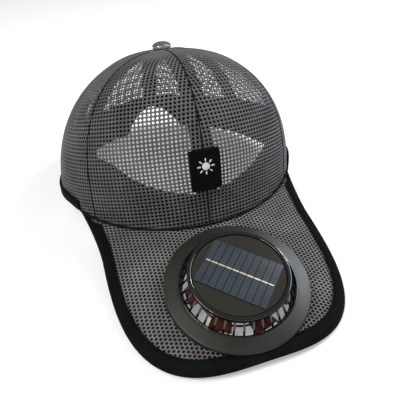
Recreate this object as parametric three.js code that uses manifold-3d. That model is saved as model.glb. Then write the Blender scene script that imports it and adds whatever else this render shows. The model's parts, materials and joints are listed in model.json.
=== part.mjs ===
// Six-panel cap of see-through net, with a solar fan set into its long peak.
// Millimetres, +Z up, the peak towards -Y. The cap stands on a table as it does by itself,
// on the front of its peak and the back of its rim, with its origin under the middle of its box.
// The cap is shaped in a frame of its own, whose XY plane is the base of the crown,
// and tipped onto the table last.

import * as THREE from "three";
import { mergeVertices } from "three/addons/utils/BufferGeometryUtils.js";
import Module from "manifold-3d";

const wasm = await Module();
wasm.setup();

// Clearance between pieces that touch
const GAP = 0.3;

// Crown: half width, reach to the front and back, and height over its base plane
const CROWN_HALF_WIDTH = 88;
const CROWN_FRONT = 85.5;
const CROWN_BACK = 90.7;
const CROWN_HEIGHT = 95;
const APEX_FORWARD = 3;
const APEX_HOLE_RADIUS = 4;
// Fullness of the crown's meridians, as the exponent of a superellipse
const FRONT_FULLNESS = 3.39;
const SIDE_FULLNESS = 2.18;
const BACK_FULLNESS = 2.56;
const MERIDIAN_BULGE = 0.028;
const SIDE_FLARE = 0.065;
const PANEL_THICKNESS = 1.2;

// Seams of the six panels, as turns from the front
const FRONT_SIDE_SEAM_DEG = 53;
const REAR_SIDE_SEAM_DEG = 124;
const SEAM_TAPE_WIDTH = 14;
const SEAM_TAPE_THICKNESS = 1;
const SEAM_TAPE_CLEARANCE = 0.5;

// Rim: the front follows the peak, the sides lie near the base plane, and the back rises to an arch
const PEAK_ROOT_DEG = 62.2;
const RIM_SIDE_DEG = 74;
const RIM_SIDE_HEIGHT = -1.5;
const RIM_RISE_START_DEG = 80;
const RIM_RISE_END_DEG = 165;
const RIM_BACK_HEIGHT = 15;
const REAR_ARCH_HEIGHT = 24;
const REAR_ARCH_HALF_DEG = 18;
const REAR_ARCH_ROUNDNESS = 1;
const RIM_BINDING_HEIGHT = 9;
const BINDING_THICKNESS = 0.9;

// Sweatband: its top edge over the base plane, as shares of its height at the sides
const SWEATBAND_TOP = 42;
const SWEATBAND_THICKNESS = 1.5;
const SWEATBAND_CLEARANCE = 0.5;
const SWEATBAND_EDGE = [
  { turn: 0, share: 0.13 },
  { turn: 16, share: 0.29 },
  { turn: 26, share: 0.43 },
  { turn: 34, share: 0.61 },
  { turn: 41, share: 0.81 },
  { turn: 55, share: 0.97 },
  { turn: 112, share: 1.0 },
  { turn: 143, share: 1.03 },
  { turn: 160, share: 1.12 },
  { turn: 180, share: 1.2 },
];

// Button on the apex
const BUTTON_RADIUS = 7.3;
const BUTTON_HEIGHT = 4.8;
const BUTTON_EDGE = 1;
const BUTTON_SHANK_RADIUS = 2.6;
const BUTTON_SHANK_LENGTH = 4;

// Patch on the front seam
const LABEL_WIDTH = 20;
const LABEL_HEIGHT = 28;
const LABEL_THICKNESS = 1.6;
const LABEL_CENTRE_HEIGHT = 26;

// Peak: where it leaves the crown, how it slopes and rounds over, and its outline seen from above
const PEAK_ROOT_DROP = 14.3;
const PEAK_SLOPE_DEG = 24.6;
const PEAK_HALF_WIDTH = 75;
const PEAK_SIDE_DROP = 10.1;
const PEAK_SHOULDER_BEHIND = 1.8;
const PEAK_FRONT_FULLNESS = 2.99;
const PEAK_SIDE_SWEEP = 1.52;
const PEAK_THICKNESS = 2;
const PEAK_TUCK = 5;
const PEAK_BINDING_WIDTH = 7.2;
const PEAK_BINDING_START = 3.2;

// Fan: its room on the peak, seen from above, behind the flange and ahead of the guard,
// its radii, and heights over the peak's middle line
const FLANGE_ROOM = 4.95;
const GUARD_ROOM = 1.74;
const BORE_RADIUS = 35.2;
const DUCT_WALL = 1.6;
const DUCT_DEPTH = 4.6;
const FLANGE_WIDTH = 9.4;
const FLANGE_SHOULDER = 3.3;
const FLANGE_RIM_HEIGHT = 4.8;
const FLANGE_ROUND = 1.3;
const FLANGE_LIP = 0.4;
// Room between the binding's inner edge and the place where the flange steps over it
const BINDING_STEP_MARGIN = 4.5;
const RIB_COUNT = 36;
const RIB_WIDTH = 1.3;
const RIB_DEPTH = 1.5;
const RIB_RING_BASE = 0.6;
const RIB_RING_THICKNESS = 1.3;
// Room between the bore and the hub, which the ribs bridge
const HUB_ROOM = 4.4;
const HUB_TOP = 14.5;
const HUB_PLATE_BASE = 11.4;
const HUB_PLATE_THICKNESS = 1;
const HUB_CHAMFER = 0.7;
const BEZEL_WIDTH = 2.5;

// Solar disc with a row of as many cells as fit across it, and the bar that joins them
const DISC_BELOW_BEZEL = 0.8;
const CELL_MARGIN = 0.3;
const CELL_PITCH = 4.5;
const CELL_DIVIDER = 0.35;
const CELL_LENGTH = 32;
const CELL_THICKNESS = 0.3;
const CELLS_TURN_DEG = -43;
const BUSBAR_WIDTH = 0.9;
const BUSBAR_THICKNESS = 0.2;

// Motor and rotor
const MOTOR_RADIUS = 10.5;
const MOTOR_BASE = 3.7;
const MOTOR_CHAMFER = 0.5;
const SHAFT_RADIUS = 1;
const SHAFT_BASE = -2.8;
const SHAFT_LENGTH = 9.3;
const ROTOR_HUB_RADIUS = 9.5;
const ROTOR_BASE = -3;
const ROTOR_HEIGHT = 6;
const ROTOR_TIP_CLEARANCE = 3.2;
const BLADE_COUNT = 7;
const BLADE_SPAN_DEG = 34;
const BLADE_LEAN_DEG = 12;
const BLADE_TWIST = 0.25;
const BLADE_THICKNESS = 1;

// Guard under the peak
const GUARD_RIM_WIDTH = 2.4;
const GUARD_BASE = -6;
const GUARD_BAR_WIDTH = 1.2;
const GUARD_BAR_THICKNESS = 1;
const GUARD_SPOKE_THICKNESS = 0.8;
const GUARD_OVERHANG = 2;
const GUARD_SPOKES = 6;
const GUARD_CENTRE_RADIUS = 6;
const GUARD_RINGS = 2;

// Steps of the faceted surfaces
const PANEL_ROWS = 11;
const FRONT_COLUMNS = 7;
const SIDE_COLUMNS = 8;
const REAR_COLUMNS = 4;
const ARCH_COLUMNS = 6;
const BAND_ROWS = 3;
const LABEL_COLUMNS = 4;
const LABEL_ROWS = 5;
const BUTTON_STEPS = 4;
const MERIDIAN_SAMPLES = 240;
const PEAK_COLUMNS = 32;
const PEAK_ROWS = 5;
const PEAK_BINDING_COLUMNS = 38;
const BLADE_STEPS = 2;
const ROUND_SIDES = 36;
const SMALL_ROUND_SIDES = 16;

const rad = THREE.MathUtils.degToRad;
const UP = new THREE.Vector3(0, 0, 1);
const peakGradient = Math.tan(rad(PEAK_SLOPE_DEG));
const peakCosine = Math.cos(rad(PEAK_SLOPE_DEG));
const peakSine = Math.sin(rad(PEAK_SLOPE_DEG));
const peakDepth = PEAK_THICKNESS * peakCosine;

// Radii of the fan, out from its bore and in to its hub
const ductRadius = BORE_RADIUS + DUCT_WALL;
const flangeRadius = BORE_RADIUS + FLANGE_WIDTH;
const guardRadius = ductRadius + GUARD_RIM_WIDTH;
const hubRadius = BORE_RADIUS - HUB_ROOM;

// The fan sits just ahead of the crown, and the binding of the peak's front just ahead of its guard
const fanAhead = FLANGE_ROOM + flangeRadius * peakCosine;
const guardReach = guardRadius * peakCosine - (peakDepth + GAP) * peakSine;
const peakLength = fanAhead + guardReach + GUARD_ROOM + PEAK_BINDING_WIDTH;
const smooth = (low, high, value) => THREE.MathUtils.smoothstep(value, low, high);

// Geometry helpers

// The triangles of a face with any number of corners, all from its first corner
const fanOf = (face) => face.slice(2).map((corner, k) => [face[0], face[k + 1], corner]);

// A closed mesh from points and faces of any number of corners, turned to face outwards
function solid(points, faces) {
  const index = faces.flatMap(fanOf).flat();
  let volume = 0;
  for (let k = 0; k < index.length; k += 3) {
    const [a, b, c] = [points[index[k]], points[index[k + 1]], points[index[k + 2]]];
    volume += a.dot(new THREE.Vector3().crossVectors(b, c));
  }
  if (volume < 0) index.reverse();
  const geometry = new THREE.BufferGeometry();
  const positions = points.flatMap((point) => point.toArray());
  geometry.setAttribute("position", new THREE.Float32BufferAttribute(positions, 3));
  geometry.setIndex(index);
  return geometry;
}

// A closed mesh swept through sections that all have the same number of corners
function sweep(sections, closed) {
  const count = sections[0].length;
  const points = sections.flat();
  const faces = [];
  const spans = closed ? sections.length : sections.length - 1;
  for (let i = 0; i < spans; i += 1) {
    const here = i * count;
    const next = ((i + 1) % sections.length) * count;
    for (let k = 0; k < count; k += 1) {
      const after = (k + 1) % count;
      faces.push([here + k, next + k, next + after, here + after]);
    }
  }
  if (!closed) {
    const last = (sections.length - 1) * count;
    faces.push(...endCap(sections[0], 0, false), ...endCap(sections[sections.length - 1], last, true));
  }
  return solid(points, faces);
}

// The end of a sweep, cut into triangles in the plane that its corners lie nearest to
function endCap(section, offset, reversed) {
  const middle = section.reduce((sum, p) => sum.add(p), new THREE.Vector3()).divideScalar(section.length);
  const normal = new THREE.Vector3();
  section.forEach((p, k) => {
    const next = section[(k + 1) % section.length];
    normal.add(new THREE.Vector3().crossVectors(p.clone().sub(middle), next.clone().sub(middle)));
  });
  const across = section[1].clone().sub(section[0]).normalize();
  const along = new THREE.Vector3().crossVectors(normal.normalize(), across);
  const flat = section.map((p) => {
    const from = p.clone().sub(middle);
    return new THREE.Vector2(from.dot(across), from.dot(along));
  });
  const faces = THREE.ShapeUtils.triangulateShape(flat, []).map((face) => face.map((k) => offset + k));
  return reversed ? faces.map((face) => face.reverse()) : faces;
}

// A wall between an outer and an inner sheet, each given as a function of column and row
function wall(columns, rows, outer, inner, closed = false) {
  const points = [];
  const lines = closed ? columns : columns + 1;
  for (const sheet of [outer, inner]) {
    for (let i = 0; i < lines; i += 1) {
      for (let j = 0; j <= rows; j += 1) points.push(sheet(i, j));
    }
  }
  const out = (i, j) => (i % lines) * (rows + 1) + j;
  const back = (i, j) => lines * (rows + 1) + out(i, j);
  const faces = [];
  for (let i = 0; i < columns; i += 1) {
    for (let j = 0; j < rows; j += 1) {
      const corners = [[i, j], [i + 1, j], [i + 1, j + 1], [i, j + 1]];
      const quad = i < columns / 2 ? corners : [...corners.slice(1), corners[0]];
      faces.push(quad.map(([c, r]) => out(c, r)));
      faces.push(...fanOf(quad.map(([c, r]) => back(c, r))).map((corners) => corners.reverse()));
    }
    faces.push([out(i + 1, 0), out(i, 0), back(i, 0), back(i + 1, 0)]);
    faces.push([out(i, rows), out(i + 1, rows), back(i + 1, rows), back(i, rows)]);
  }
  for (let j = 0; j < rows && !closed; j += 1) {
    faces.push([out(0, j), out(0, j + 1), back(0, j + 1), back(0, j)]);
    faces.push([out(columns, j + 1), out(columns, j), back(columns, j), back(columns, j + 1)]);
  }
  return solid(points, faces);
}

// The same piece on the other side of the cap
function mirrored(geometry) {
  const other = geometry.clone().scale(-1, 1, 1);
  other.setIndex(Array.from(geometry.index.array).reverse());
  return other;
}

// A round piece about Z whose section may change with the angle
function turned(sectionAt, sides = ROUND_SIDES) {
  const sections = [];
  for (let i = 0; i < sides; i += 1) {
    const angle = (i / sides) * 2 * Math.PI;
    const cosine = Math.cos(angle);
    const sine = Math.sin(angle);
    sections.push(sectionAt(angle).map(([r, h]) => new THREE.Vector3(r * cosine, r * sine, h)));
  }
  return sweep(sections, true);
}

// A round piece about Z from a profile of radius and height that starts and ends on the axis
function spun(profile, sides = ROUND_SIDES) {
  const lathe = new THREE.LatheGeometry(profile.map(([r, h]) => new THREE.Vector2(r, h)), sides);
  return lathe.rotateX(Math.PI / 2);
}

function manifold(geometry) {
  const plain = geometry.clone();
  plain.deleteAttribute("normal");
  plain.deleteAttribute("uv");
  const merged = mergeVertices(plain, 1e-4);
  const vertProperties = new Float32Array(merged.attributes.position.array);
  const kept = [];
  const corners = merged.index.array;
  for (let k = 0; k < corners.length; k += 3) {
    const [a, b, c] = [corners[k], corners[k + 1], corners[k + 2]];
    if (a !== b && b !== c && c !== a) kept.push(a, b, c);
  }
  return new wasm.Manifold(new wasm.Mesh({ numProp: 3, vertProperties, triVerts: new Uint32Array(kept) }));
}

function geometryOf(body) {
  const mesh = body.getMesh();
  const geometry = new THREE.BufferGeometry();
  geometry.setAttribute("position", new THREE.Float32BufferAttribute(mesh.vertProperties, 3));
  geometry.setIndex(Array.from(mesh.triVerts));
  return geometry;
}

const joined = (pieces) => geometryOf(pieces.map(manifold).reduce((sum, piece) => sum.add(piece)));
const cut = (piece, tool) => geometryOf(manifold(piece).subtract(manifold(tool)));

// Peak surface, in the cap's frame
const peakRound = PEAK_SIDE_DROP / PEAK_HALF_WIDTH ** 2;
const peakTop = (x, y) => -PEAK_ROOT_DROP + peakGradient * (y + CROWN_FRONT) - peakRound * x * x;

// Crown surface: turn is the angle from the front towards +X

function archLift(turn) {
  const share = (Math.PI - Math.abs(turn)) / rad(REAR_ARCH_HALF_DEG);
  return REAR_ARCH_HEIGHT * Math.max(0, 1 - share * share) ** REAR_ARCH_ROUNDNESS;
}

function rimHeight(turn) {
  const away = Math.abs(turn);
  const root = Math.min(away, rad(PEAK_ROOT_DEG));
  const onPeak = peakTop(CROWN_HALF_WIDTH * Math.sin(root), -CROWN_FRONT * Math.cos(root));
  const side = smooth(rad(PEAK_ROOT_DEG), rad(RIM_SIDE_DEG), away);
  const back = smooth(rad(RIM_RISE_START_DEG), rad(RIM_RISE_END_DEG), away);
  const base = THREE.MathUtils.lerp(onPeak, RIM_SIDE_HEIGHT, side);
  return base + (RIM_BACK_HEIGHT - RIM_SIDE_HEIGHT) * back + archLift(turn);
}

function crownAt(turn, height) {
  const sideways = Math.sin(turn);
  const forward = Math.cos(turn);
  const weight = sideways * sideways;
  const reach = forward > 0 ? CROWN_FRONT : CROWN_BACK;
  const end = forward > 0 ? FRONT_FULLNESS : BACK_FULLNESS;
  const power = THREE.MathUtils.lerp(end, SIDE_FULLNESS, weight);
  const share = THREE.MathUtils.clamp(height / CROWN_HEIGHT, 0, 1);
  const bulge = 1 + MERIDIAN_BULGE * Math.sin(Math.PI * share);
  const radius = Math.max(0, 1 - share ** power) ** (1 / power) * bulge;
  const flare = 1 + SIDE_FLARE * weight * (1 - share) ** 3;
  return new THREE.Vector3(
    CROWN_HALF_WIDTH * sideways * radius * flare,
    -reach * forward * radius - APEX_FORWARD * share,
    height,
  );
}

// One meridian of the crown from the rim to the hole at the apex, measured along its length
const meridians = new Map();
function meridian(turn) {
  const key = turn.toFixed(6);
  if (meridians.has(key)) return meridians.get(key);
  const low = rimHeight(turn);
  const points = [];
  const lengths = [0];
  for (let k = 0; k <= MERIDIAN_SAMPLES; k += 1) {
    const share = 1 - (1 - k / MERIDIAN_SAMPLES) ** 3;
    const point = crownAt(turn, low + (CROWN_HEIGHT - low) * share);
    if (k > 0) lengths.push(lengths[k - 1] + point.distanceTo(points[k - 1]));
    points.push(point);
  }
  const result = { points, lengths };
  meridians.set(key, result);
  return result;
}

function along(line, length) {
  const { points, lengths } = line;
  const last = lengths.length - 1;
  const wanted = THREE.MathUtils.clamp(length, 0, lengths[last]);
  let high = 1;
  while (high < last && lengths[high] < wanted) high += 1;
  const span = lengths[high] - lengths[high - 1];
  const share = span > 0 ? (wanted - lengths[high - 1]) / span : 0;
  return points[high - 1].clone().lerp(points[high], share);
}

// Length up a meridian at which a measure of its points passes a value
function lengthWhere(turn, reached) {
  const { points, lengths } = meridian(turn);
  const found = points.findIndex(reached);
  return lengths[found < 0 ? lengths.length - 1 : found];
}

const wrapped = (turn) => (turn > Math.PI ? turn - 2 * Math.PI : turn);
const apexRadius = (point) => Math.hypot(point.x, point.y + APEX_FORWARD);
const lengthToHeight = (turn, height) => lengthWhere(turn, (point) => point.z >= height);
const lengthToRadius = (turn, radius) => lengthWhere(turn, (point) => apexRadius(point) <= radius);

// A point of the crown at a turn and a length up from the rim, moved off the surface, outwards when positive
function layer(turn, length, offset) {
  const step = 0.004;
  const reach = 0.6;
  const point = along(meridian(turn), length);
  const rise = along(meridian(turn), length + reach).sub(along(meridian(turn), Math.max(0, length - reach)));
  const height = point.z;
  const around = crownAt(turn + step, height).sub(crownAt(turn - step, height));
  const normal = new THREE.Vector3().crossVectors(around, rise).normalize();
  if (normal.dot(new THREE.Vector3(point.x, point.y, CROWN_HEIGHT / 2)) < 0) normal.negate();
  return point.addScaledVector(normal, offset);
}

// Inner layers start higher, because the peak under them rises towards the head
const seat = (offset) => GAP + peakGradient * Math.abs(offset);

// Panels

const seamTurn = {
  front: 0,
  frontSide: rad(FRONT_SIDE_SEAM_DEG),
  rearSide: rad(REAR_SIDE_SEAM_DEG),
  rear: Math.PI,
};

// Turns of the columns from the front to the back, closer together where the rear arch is steep
function turnsBetween(from, to, columns) {
  return Array.from({ length: columns }, (_, k) => THREE.MathUtils.lerp(from, to, k / columns));
}

const archTurn = Math.PI - rad(REAR_ARCH_HALF_DEG);
const archTurns = Array.from({ length: ARCH_COLUMNS + 1 }, (_, k) => (
  Math.PI - rad(REAR_ARCH_HALF_DEG) * Math.cos(((k / ARCH_COLUMNS) * Math.PI) / 2)
));
const columnTurns = {
  front: [...turnsBetween(seamTurn.front, seamTurn.frontSide, FRONT_COLUMNS), seamTurn.frontSide],
  side: [...turnsBetween(seamTurn.frontSide, seamTurn.rearSide, SIDE_COLUMNS), seamTurn.rearSide],
  rear: [...turnsBetween(seamTurn.rearSide, archTurn, REAR_COLUMNS), ...archTurns],
};

// Length up a meridian to a row of the panels, from the rim to the hole at the apex
function rowLength(turn, row, offset) {
  return THREE.MathUtils.lerp(seat(offset), lengthToRadius(turn, APEX_HOLE_RADIUS), row / PANEL_ROWS);
}

function panel(turns) {
  const last = turns.length - 1;
  const place = (i, j, offset) => {
    const length = rowLength(turns[i], j, offset);
    const margin = GAP / 2 / apexRadius(along(meridian(turns[i]), length));
    const turn = THREE.MathUtils.clamp(turns[i], turns[0] + margin, turns[last] - margin);
    return layer(turn, length, offset);
  };
  return wall(last, PANEL_ROWS, (i, j) => place(i, j, 0), (i, j) => place(i, j, -PANEL_THICKNESS));
}

// Seam tapes, behind the panels; they end one row short of the apex

const tapeOuter = -(PANEL_THICKNESS + SEAM_TAPE_CLEARANCE);
const tapeInner = tapeOuter - SEAM_TAPE_THICKNESS;

function seamTape(seam) {
  const place = (i, j, offset) => {
    const radius = apexRadius(along(meridian(seam), rowLength(seam, j, offset)));
    const turn = wrapped(seam + ((i - 1) * SEAM_TAPE_WIDTH) / 2 / radius);
    return layer(turn, rowLength(turn, j, offset), offset);
  };
  return wall(2, PANEL_ROWS - 1, (i, j) => place(i, j, tapeOuter), (i, j) => place(i, j, tapeInner));
}

// Sweatband, inside the tapes

const bandOuter = tapeInner - SWEATBAND_CLEARANCE;
const bandInner = bandOuter - SWEATBAND_THICKNESS;

function bandEdge(turn) {
  const away = THREE.MathUtils.radToDeg(Math.abs(turn));
  const high = SWEATBAND_EDGE.findIndex((row) => row.turn >= away);
  const [low, next] = [SWEATBAND_EDGE[Math.max(0, high - 1)], SWEATBAND_EDGE[Math.max(1, high)]];
  const share = (away - low.turn) / (next.turn - low.turn);
  return SWEATBAND_TOP * THREE.MathUtils.lerp(low.share, next.share, share);
}

const halfTurns = [...columnTurns.front, ...columnTurns.side.slice(1), ...columnTurns.rear.slice(1)];
const roundTurns = [...halfTurns.slice(1), ...halfTurns.slice(0, -1).reverse().map((turn) => -turn)];

function sweatband() {
  const place = (i, j, offset) => {
    const turn = roundTurns[i];
    const length = THREE.MathUtils.lerp(seat(offset), lengthToHeight(turn, bandEdge(turn)), j / BAND_ROWS);
    return layer(turn, length, offset);
  };
  const columns = roundTurns.length;
  return wall(columns, BAND_ROWS, (i, j) => place(i, j, bandOuter), (i, j) => place(i, j, bandInner), true);
}

// Binding folded round the rim, from one end of the peak's root round the back to the other

function rimBinding() {
  const start = rad(PEAK_ROOT_DEG) + (2 * GAP) / CROWN_HALF_WIDTH;
  const free = halfTurns.filter((turn) => turn > start + GAP / CROWN_HALF_WIDTH);
  const turns = [start, ...free, ...free.slice(0, -1).reverse().map((turn) => -turn), -start];
  const inner = bandInner - GAP;
  const under = -(GAP + BINDING_THICKNESS);
  const sections = turns.map((turn) => {
    const corner = (length, offset) => {
      const point = layer(turn, Math.max(length, 0), offset);
      return length < 0 ? point.addScaledVector(UP, length) : point;
    };
    return [
      corner(RIM_BINDING_HEIGHT, GAP + BINDING_THICKNESS),
      corner(under, GAP + BINDING_THICKNESS),
      corner(under, inner - BINDING_THICKNESS),
      corner(RIM_BINDING_HEIGHT, inner - BINDING_THICKNESS),
      corner(RIM_BINDING_HEIGHT, inner),
      corner(-GAP, inner),
      corner(-GAP, GAP),
      corner(RIM_BINDING_HEIGHT, GAP),
    ];
  });
  return sweep(sections, false);
}

// Button: a dome with a plain shank through the hole where the panels meet

function crownButton() {
  const base = CROWN_HEIGHT + GAP;
  const shankEnd = base - BUTTON_SHANK_LENGTH;
  const springing = base + BUTTON_EDGE;
  const profile = [
    [0, shankEnd],
    [BUTTON_SHANK_RADIUS, shankEnd],
    [BUTTON_SHANK_RADIUS, base],
    [BUTTON_RADIUS - BUTTON_EDGE / 2, base],
  ];
  for (let k = 0; k < BUTTON_STEPS; k += 1) {
    const angle = ((k / BUTTON_STEPS) * Math.PI) / 2;
    const height = springing + (BUTTON_HEIGHT - BUTTON_EDGE) * Math.sin(angle);
    profile.push([BUTTON_RADIUS * Math.cos(angle), height]);
  }
  profile.push([0, base + BUTTON_HEIGHT]);
  return spun(profile, SMALL_ROUND_SIDES).translate(0, -APEX_FORWARD, 0);
}

// Patch that follows the front of the crown

function labelPatch() {
  const middle = lengthToHeight(0, LABEL_CENTRE_HEIGHT);
  const place = (i, j, offset) => {
    const turn = ((i / LABEL_COLUMNS - 0.5) * LABEL_WIDTH) / CROWN_FRONT;
    const up = (j / LABEL_ROWS - 0.5) * LABEL_HEIGHT;
    return layer(turn, middle + up + rimHeight(0) - rimHeight(turn), offset);
  };
  const outer = GAP + LABEL_THICKNESS;
  return wall(LABEL_COLUMNS, LABEL_ROWS, (i, j) => place(i, j, outer), (i, j) => place(i, j, GAP));
}

// Peak outline, seen from above, from its left end round the front to its right end

const rootCorner = new THREE.Vector2(
  CROWN_HALF_WIDTH * Math.sin(rad(PEAK_ROOT_DEG)) * (1 + SIDE_FLARE * Math.sin(rad(PEAK_ROOT_DEG)) ** 2),
  -CROWN_FRONT * Math.cos(rad(PEAK_ROOT_DEG)),
);
const peakFront = -(CROWN_FRONT + peakLength);
const shoulderY = -CROWN_FRONT + PEAK_SHOULDER_BEHIND;

function outlineHalf() {
  const points = [];
  const steps = 60;
  for (let k = 0; k < steps; k += 1) {
    const share = k / steps;
    const x = THREE.MathUtils.lerp(rootCorner.x, PEAK_HALF_WIDTH, 1 - (1 - share) ** PEAK_SIDE_SWEEP);
    points.push(new THREE.Vector2(x, THREE.MathUtils.lerp(rootCorner.y, shoulderY, share)));
  }
  for (let k = 0; k <= 2 * steps; k += 1) {
    const angle = ((k / (2 * steps)) * Math.PI) / 2;
    const x = PEAK_HALF_WIDTH * Math.max(0, Math.cos(angle)) ** (2 / PEAK_FRONT_FULLNESS);
    const y = THREE.MathUtils.lerp(shoulderY, peakFront, Math.sin(angle) ** (2 / PEAK_FRONT_FULLNESS));
    points.push(new THREE.Vector2(x, y));
  }
  return points;
}

const rightHalf = outlineHalf();
const leftHalf = rightHalf.map((p) => new THREE.Vector2(-p.x, p.y));
const outline = [...leftHalf, ...rightHalf.slice(0, -1).reverse()];
const outlineLengths = [0];
outline.forEach((p, k) => {
  if (k > 0) outlineLengths.push(outlineLengths[k - 1] + p.distanceTo(outline[k - 1]));
});
const outlineLength = outlineLengths[outlineLengths.length - 1];

// A point of the outline at a share of its length, moved inwards
function outlineAt(share, inset) {
  const wanted = share * outlineLength;
  let high = 1;
  while (high < outline.length - 1 && outlineLengths[high] < wanted) high += 1;
  const [a, b] = [outline[high - 1], outline[high]];
  const span = outlineLengths[high] - outlineLengths[high - 1];
  const point = a.clone().lerp(b, (wanted - outlineLengths[high - 1]) / span);
  const before = outline[Math.max(0, high - 3)];
  const after = outline[Math.min(outline.length - 1, high + 2)];
  const tangent = after.clone().sub(before).normalize();
  return point.add(new THREE.Vector2(-tangent.y, tangent.x).multiplyScalar(inset));
}

// How far a place on the peak lies in from its outline
function insetOf(x, y) {
  const place = new THREE.Vector2(x, y);
  return Math.min(...outline.map((p) => p.distanceTo(place)));
}

// Fan frame: its centre on the peak's middle line, its axis square to the slope there

const fanY = -(CROWN_FRONT + fanAhead);
const fanCentre = new THREE.Vector3(0, fanY, peakTop(0, fanY));
const fanSurface = (across) => -peakRound * peakCosine * across * across;

function placedOnPeak(geometry) {
  return geometry.rotateX(rad(PEAK_SLOPE_DEG)).translate(fanCentre.x, fanCentre.y, fanCentre.z);
}

// Peak, with a round hole for the duct

function peak() {
  const root = rad(PEAK_ROOT_DEG);
  const edge = BINDING_THICKNESS + GAP;
  const start = PEAK_BINDING_START / outlineLength;
  const place = (i, j, drop) => {
    const inner = layer(THREE.MathUtils.lerp(-root, root, i / PEAK_COLUMNS), 0, -PEAK_TUCK);
    const outer = outlineAt(THREE.MathUtils.lerp(start, 1 - start, i / PEAK_COLUMNS), edge);
    const x = THREE.MathUtils.lerp(inner.x, outer.x, j / PEAK_ROWS);
    const y = THREE.MathUtils.lerp(inner.y, outer.y, j / PEAK_ROWS);
    return new THREE.Vector3(x, y, peakTop(x, y) - drop);
  };
  const upper = (i, j) => place(i, j, 0);
  const lower = (i, j) => place(i, j, PEAK_THICKNESS);
  const hole = ductRadius + GAP;
  const tool = new THREE.CylinderGeometry(hole, hole, 20 * PEAK_THICKNESS, ROUND_SIDES).rotateX(Math.PI / 2);
  return cut(wall(PEAK_COLUMNS, PEAK_ROWS, upper, lower), placedOnPeak(tool));
}

// Binding folded round the peak's edge; its upper leg stops short of the crown

function outsideCrown(point, clearance) {
  const reachX = CROWN_HALF_WIDTH * (1 + SIDE_FLARE) + clearance;
  const reachY = CROWN_FRONT + clearance;
  return (point.x / reachX) ** 2 + (point.y / reachY) ** 2 >= 1;
}

function peakBinding() {
  const top = GAP + BINDING_THICKNESS;
  const bottom = -(PEAK_THICKNESS + GAP);
  const start = PEAK_BINDING_START / outlineLength;
  const sections = [];
  for (let i = 0; i <= PEAK_BINDING_COLUMNS; i += 1) {
    const share = THREE.MathUtils.lerp(start, 1 - start, i / PEAK_BINDING_COLUMNS);
    let reach = PEAK_BINDING_WIDTH;
    while (reach > 2 * BINDING_THICKNESS && !outsideCrown(outlineAt(share, reach), top)) reach -= 0.1;
    const corner = (inset, height) => {
      const point = outlineAt(share, inset);
      return new THREE.Vector3(point.x, point.y, peakTop(point.x, point.y) + height);
    };
    sections.push([
      corner(reach, top),
      corner(0, top),
      corner(0, bottom - BINDING_THICKNESS),
      corner(PEAK_BINDING_WIDTH, bottom - BINDING_THICKNESS),
      corner(PEAK_BINDING_WIDTH, bottom),
      corner(BINDING_THICKNESS, bottom),
      corner(BINDING_THICKNESS, GAP),
      corner(reach, GAP),
    ]);
  }
  return sweep(sections, false);
}

// Fan flange: a ring that follows the peak, with its duct through the hole

function flangeSeat(radius, angle) {
  const across = radius * Math.cos(angle);
  const ahead = radius * Math.sin(angle);
  const overBinding = insetOf(across, fanY + ahead * peakCosine) < PEAK_BINDING_WIDTH + BINDING_STEP_MARGIN;
  return fanSurface(across) + GAP + (overBinding ? GAP + BINDING_THICKNESS : 0);
}

function fanFlange() {
  const middle = (ductRadius + flangeRadius) / 2;
  return turned((angle) => [
    [BORE_RADIUS, -DUCT_DEPTH],
    [ductRadius, -DUCT_DEPTH],
    [ductRadius, flangeSeat(ductRadius, angle)],
    [middle, flangeSeat(middle, angle)],
    [flangeRadius, flangeSeat(flangeRadius, angle)],
    [flangeRadius, FLANGE_SHOULDER - FLANGE_ROUND],
    [flangeRadius - FLANGE_ROUND * 0.3, FLANGE_SHOULDER - FLANGE_ROUND * 0.35],
    [flangeRadius - FLANGE_ROUND, FLANGE_SHOULDER],
    [BORE_RADIUS + 3 * FLANGE_LIP, FLANGE_RIM_HEIGHT - FLANGE_LIP / 2],
    [BORE_RADIUS + FLANGE_LIP, FLANGE_RIM_HEIGHT],
    [BORE_RADIUS, FLANGE_RIM_HEIGHT - FLANGE_LIP],
  ]);
}

// Ribs between the bore and the hub

const ribFoot = BORE_RADIUS - GAP - RIB_DEPTH / 2;
const ribHead = hubRadius - RIB_DEPTH;
const ribTop = HUB_PLATE_BASE - GAP;

function ribRing() {
  const ring = (radius, low) => turned(() => [
    [radius - RIB_DEPTH / 2, low],
    [radius + RIB_DEPTH / 2, low],
    [radius + RIB_DEPTH / 2, low + RIB_RING_THICKNESS],
    [radius - RIB_DEPTH / 2, low + RIB_RING_THICKNESS],
  ]);
  const ends = [
    { radius: ribFoot, height: RIB_RING_BASE + RIB_RING_THICKNESS / 2 },
    { radius: ribHead, height: ribTop - RIB_RING_THICKNESS / 2 },
  ];
  const depth = RIB_DEPTH / 3;
  const rib = sweep(ends.map(({ radius, height }) => [
    new THREE.Vector3(radius - depth, -RIB_WIDTH / 2, height),
    new THREE.Vector3(radius + depth, -RIB_WIDTH / 2, height),
    new THREE.Vector3(radius + depth, RIB_WIDTH / 2, height),
    new THREE.Vector3(radius - depth, RIB_WIDTH / 2, height),
  ]), false);
  const pieces = [ring(ribFoot, RIB_RING_BASE), ring(ribHead, ribTop - RIB_RING_THICKNESS)];
  for (let k = 0; k < RIB_COUNT; k += 1) {
    pieces.push(rib.clone().rotateZ(((k + 0.5) / RIB_COUNT) * 2 * Math.PI));
  }
  return joined(pieces);
}

// Hub with its bezel

const bezelInner = hubRadius - BEZEL_WIDTH;
const hubFloor = HUB_PLATE_BASE + HUB_PLATE_THICKNESS;

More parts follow.
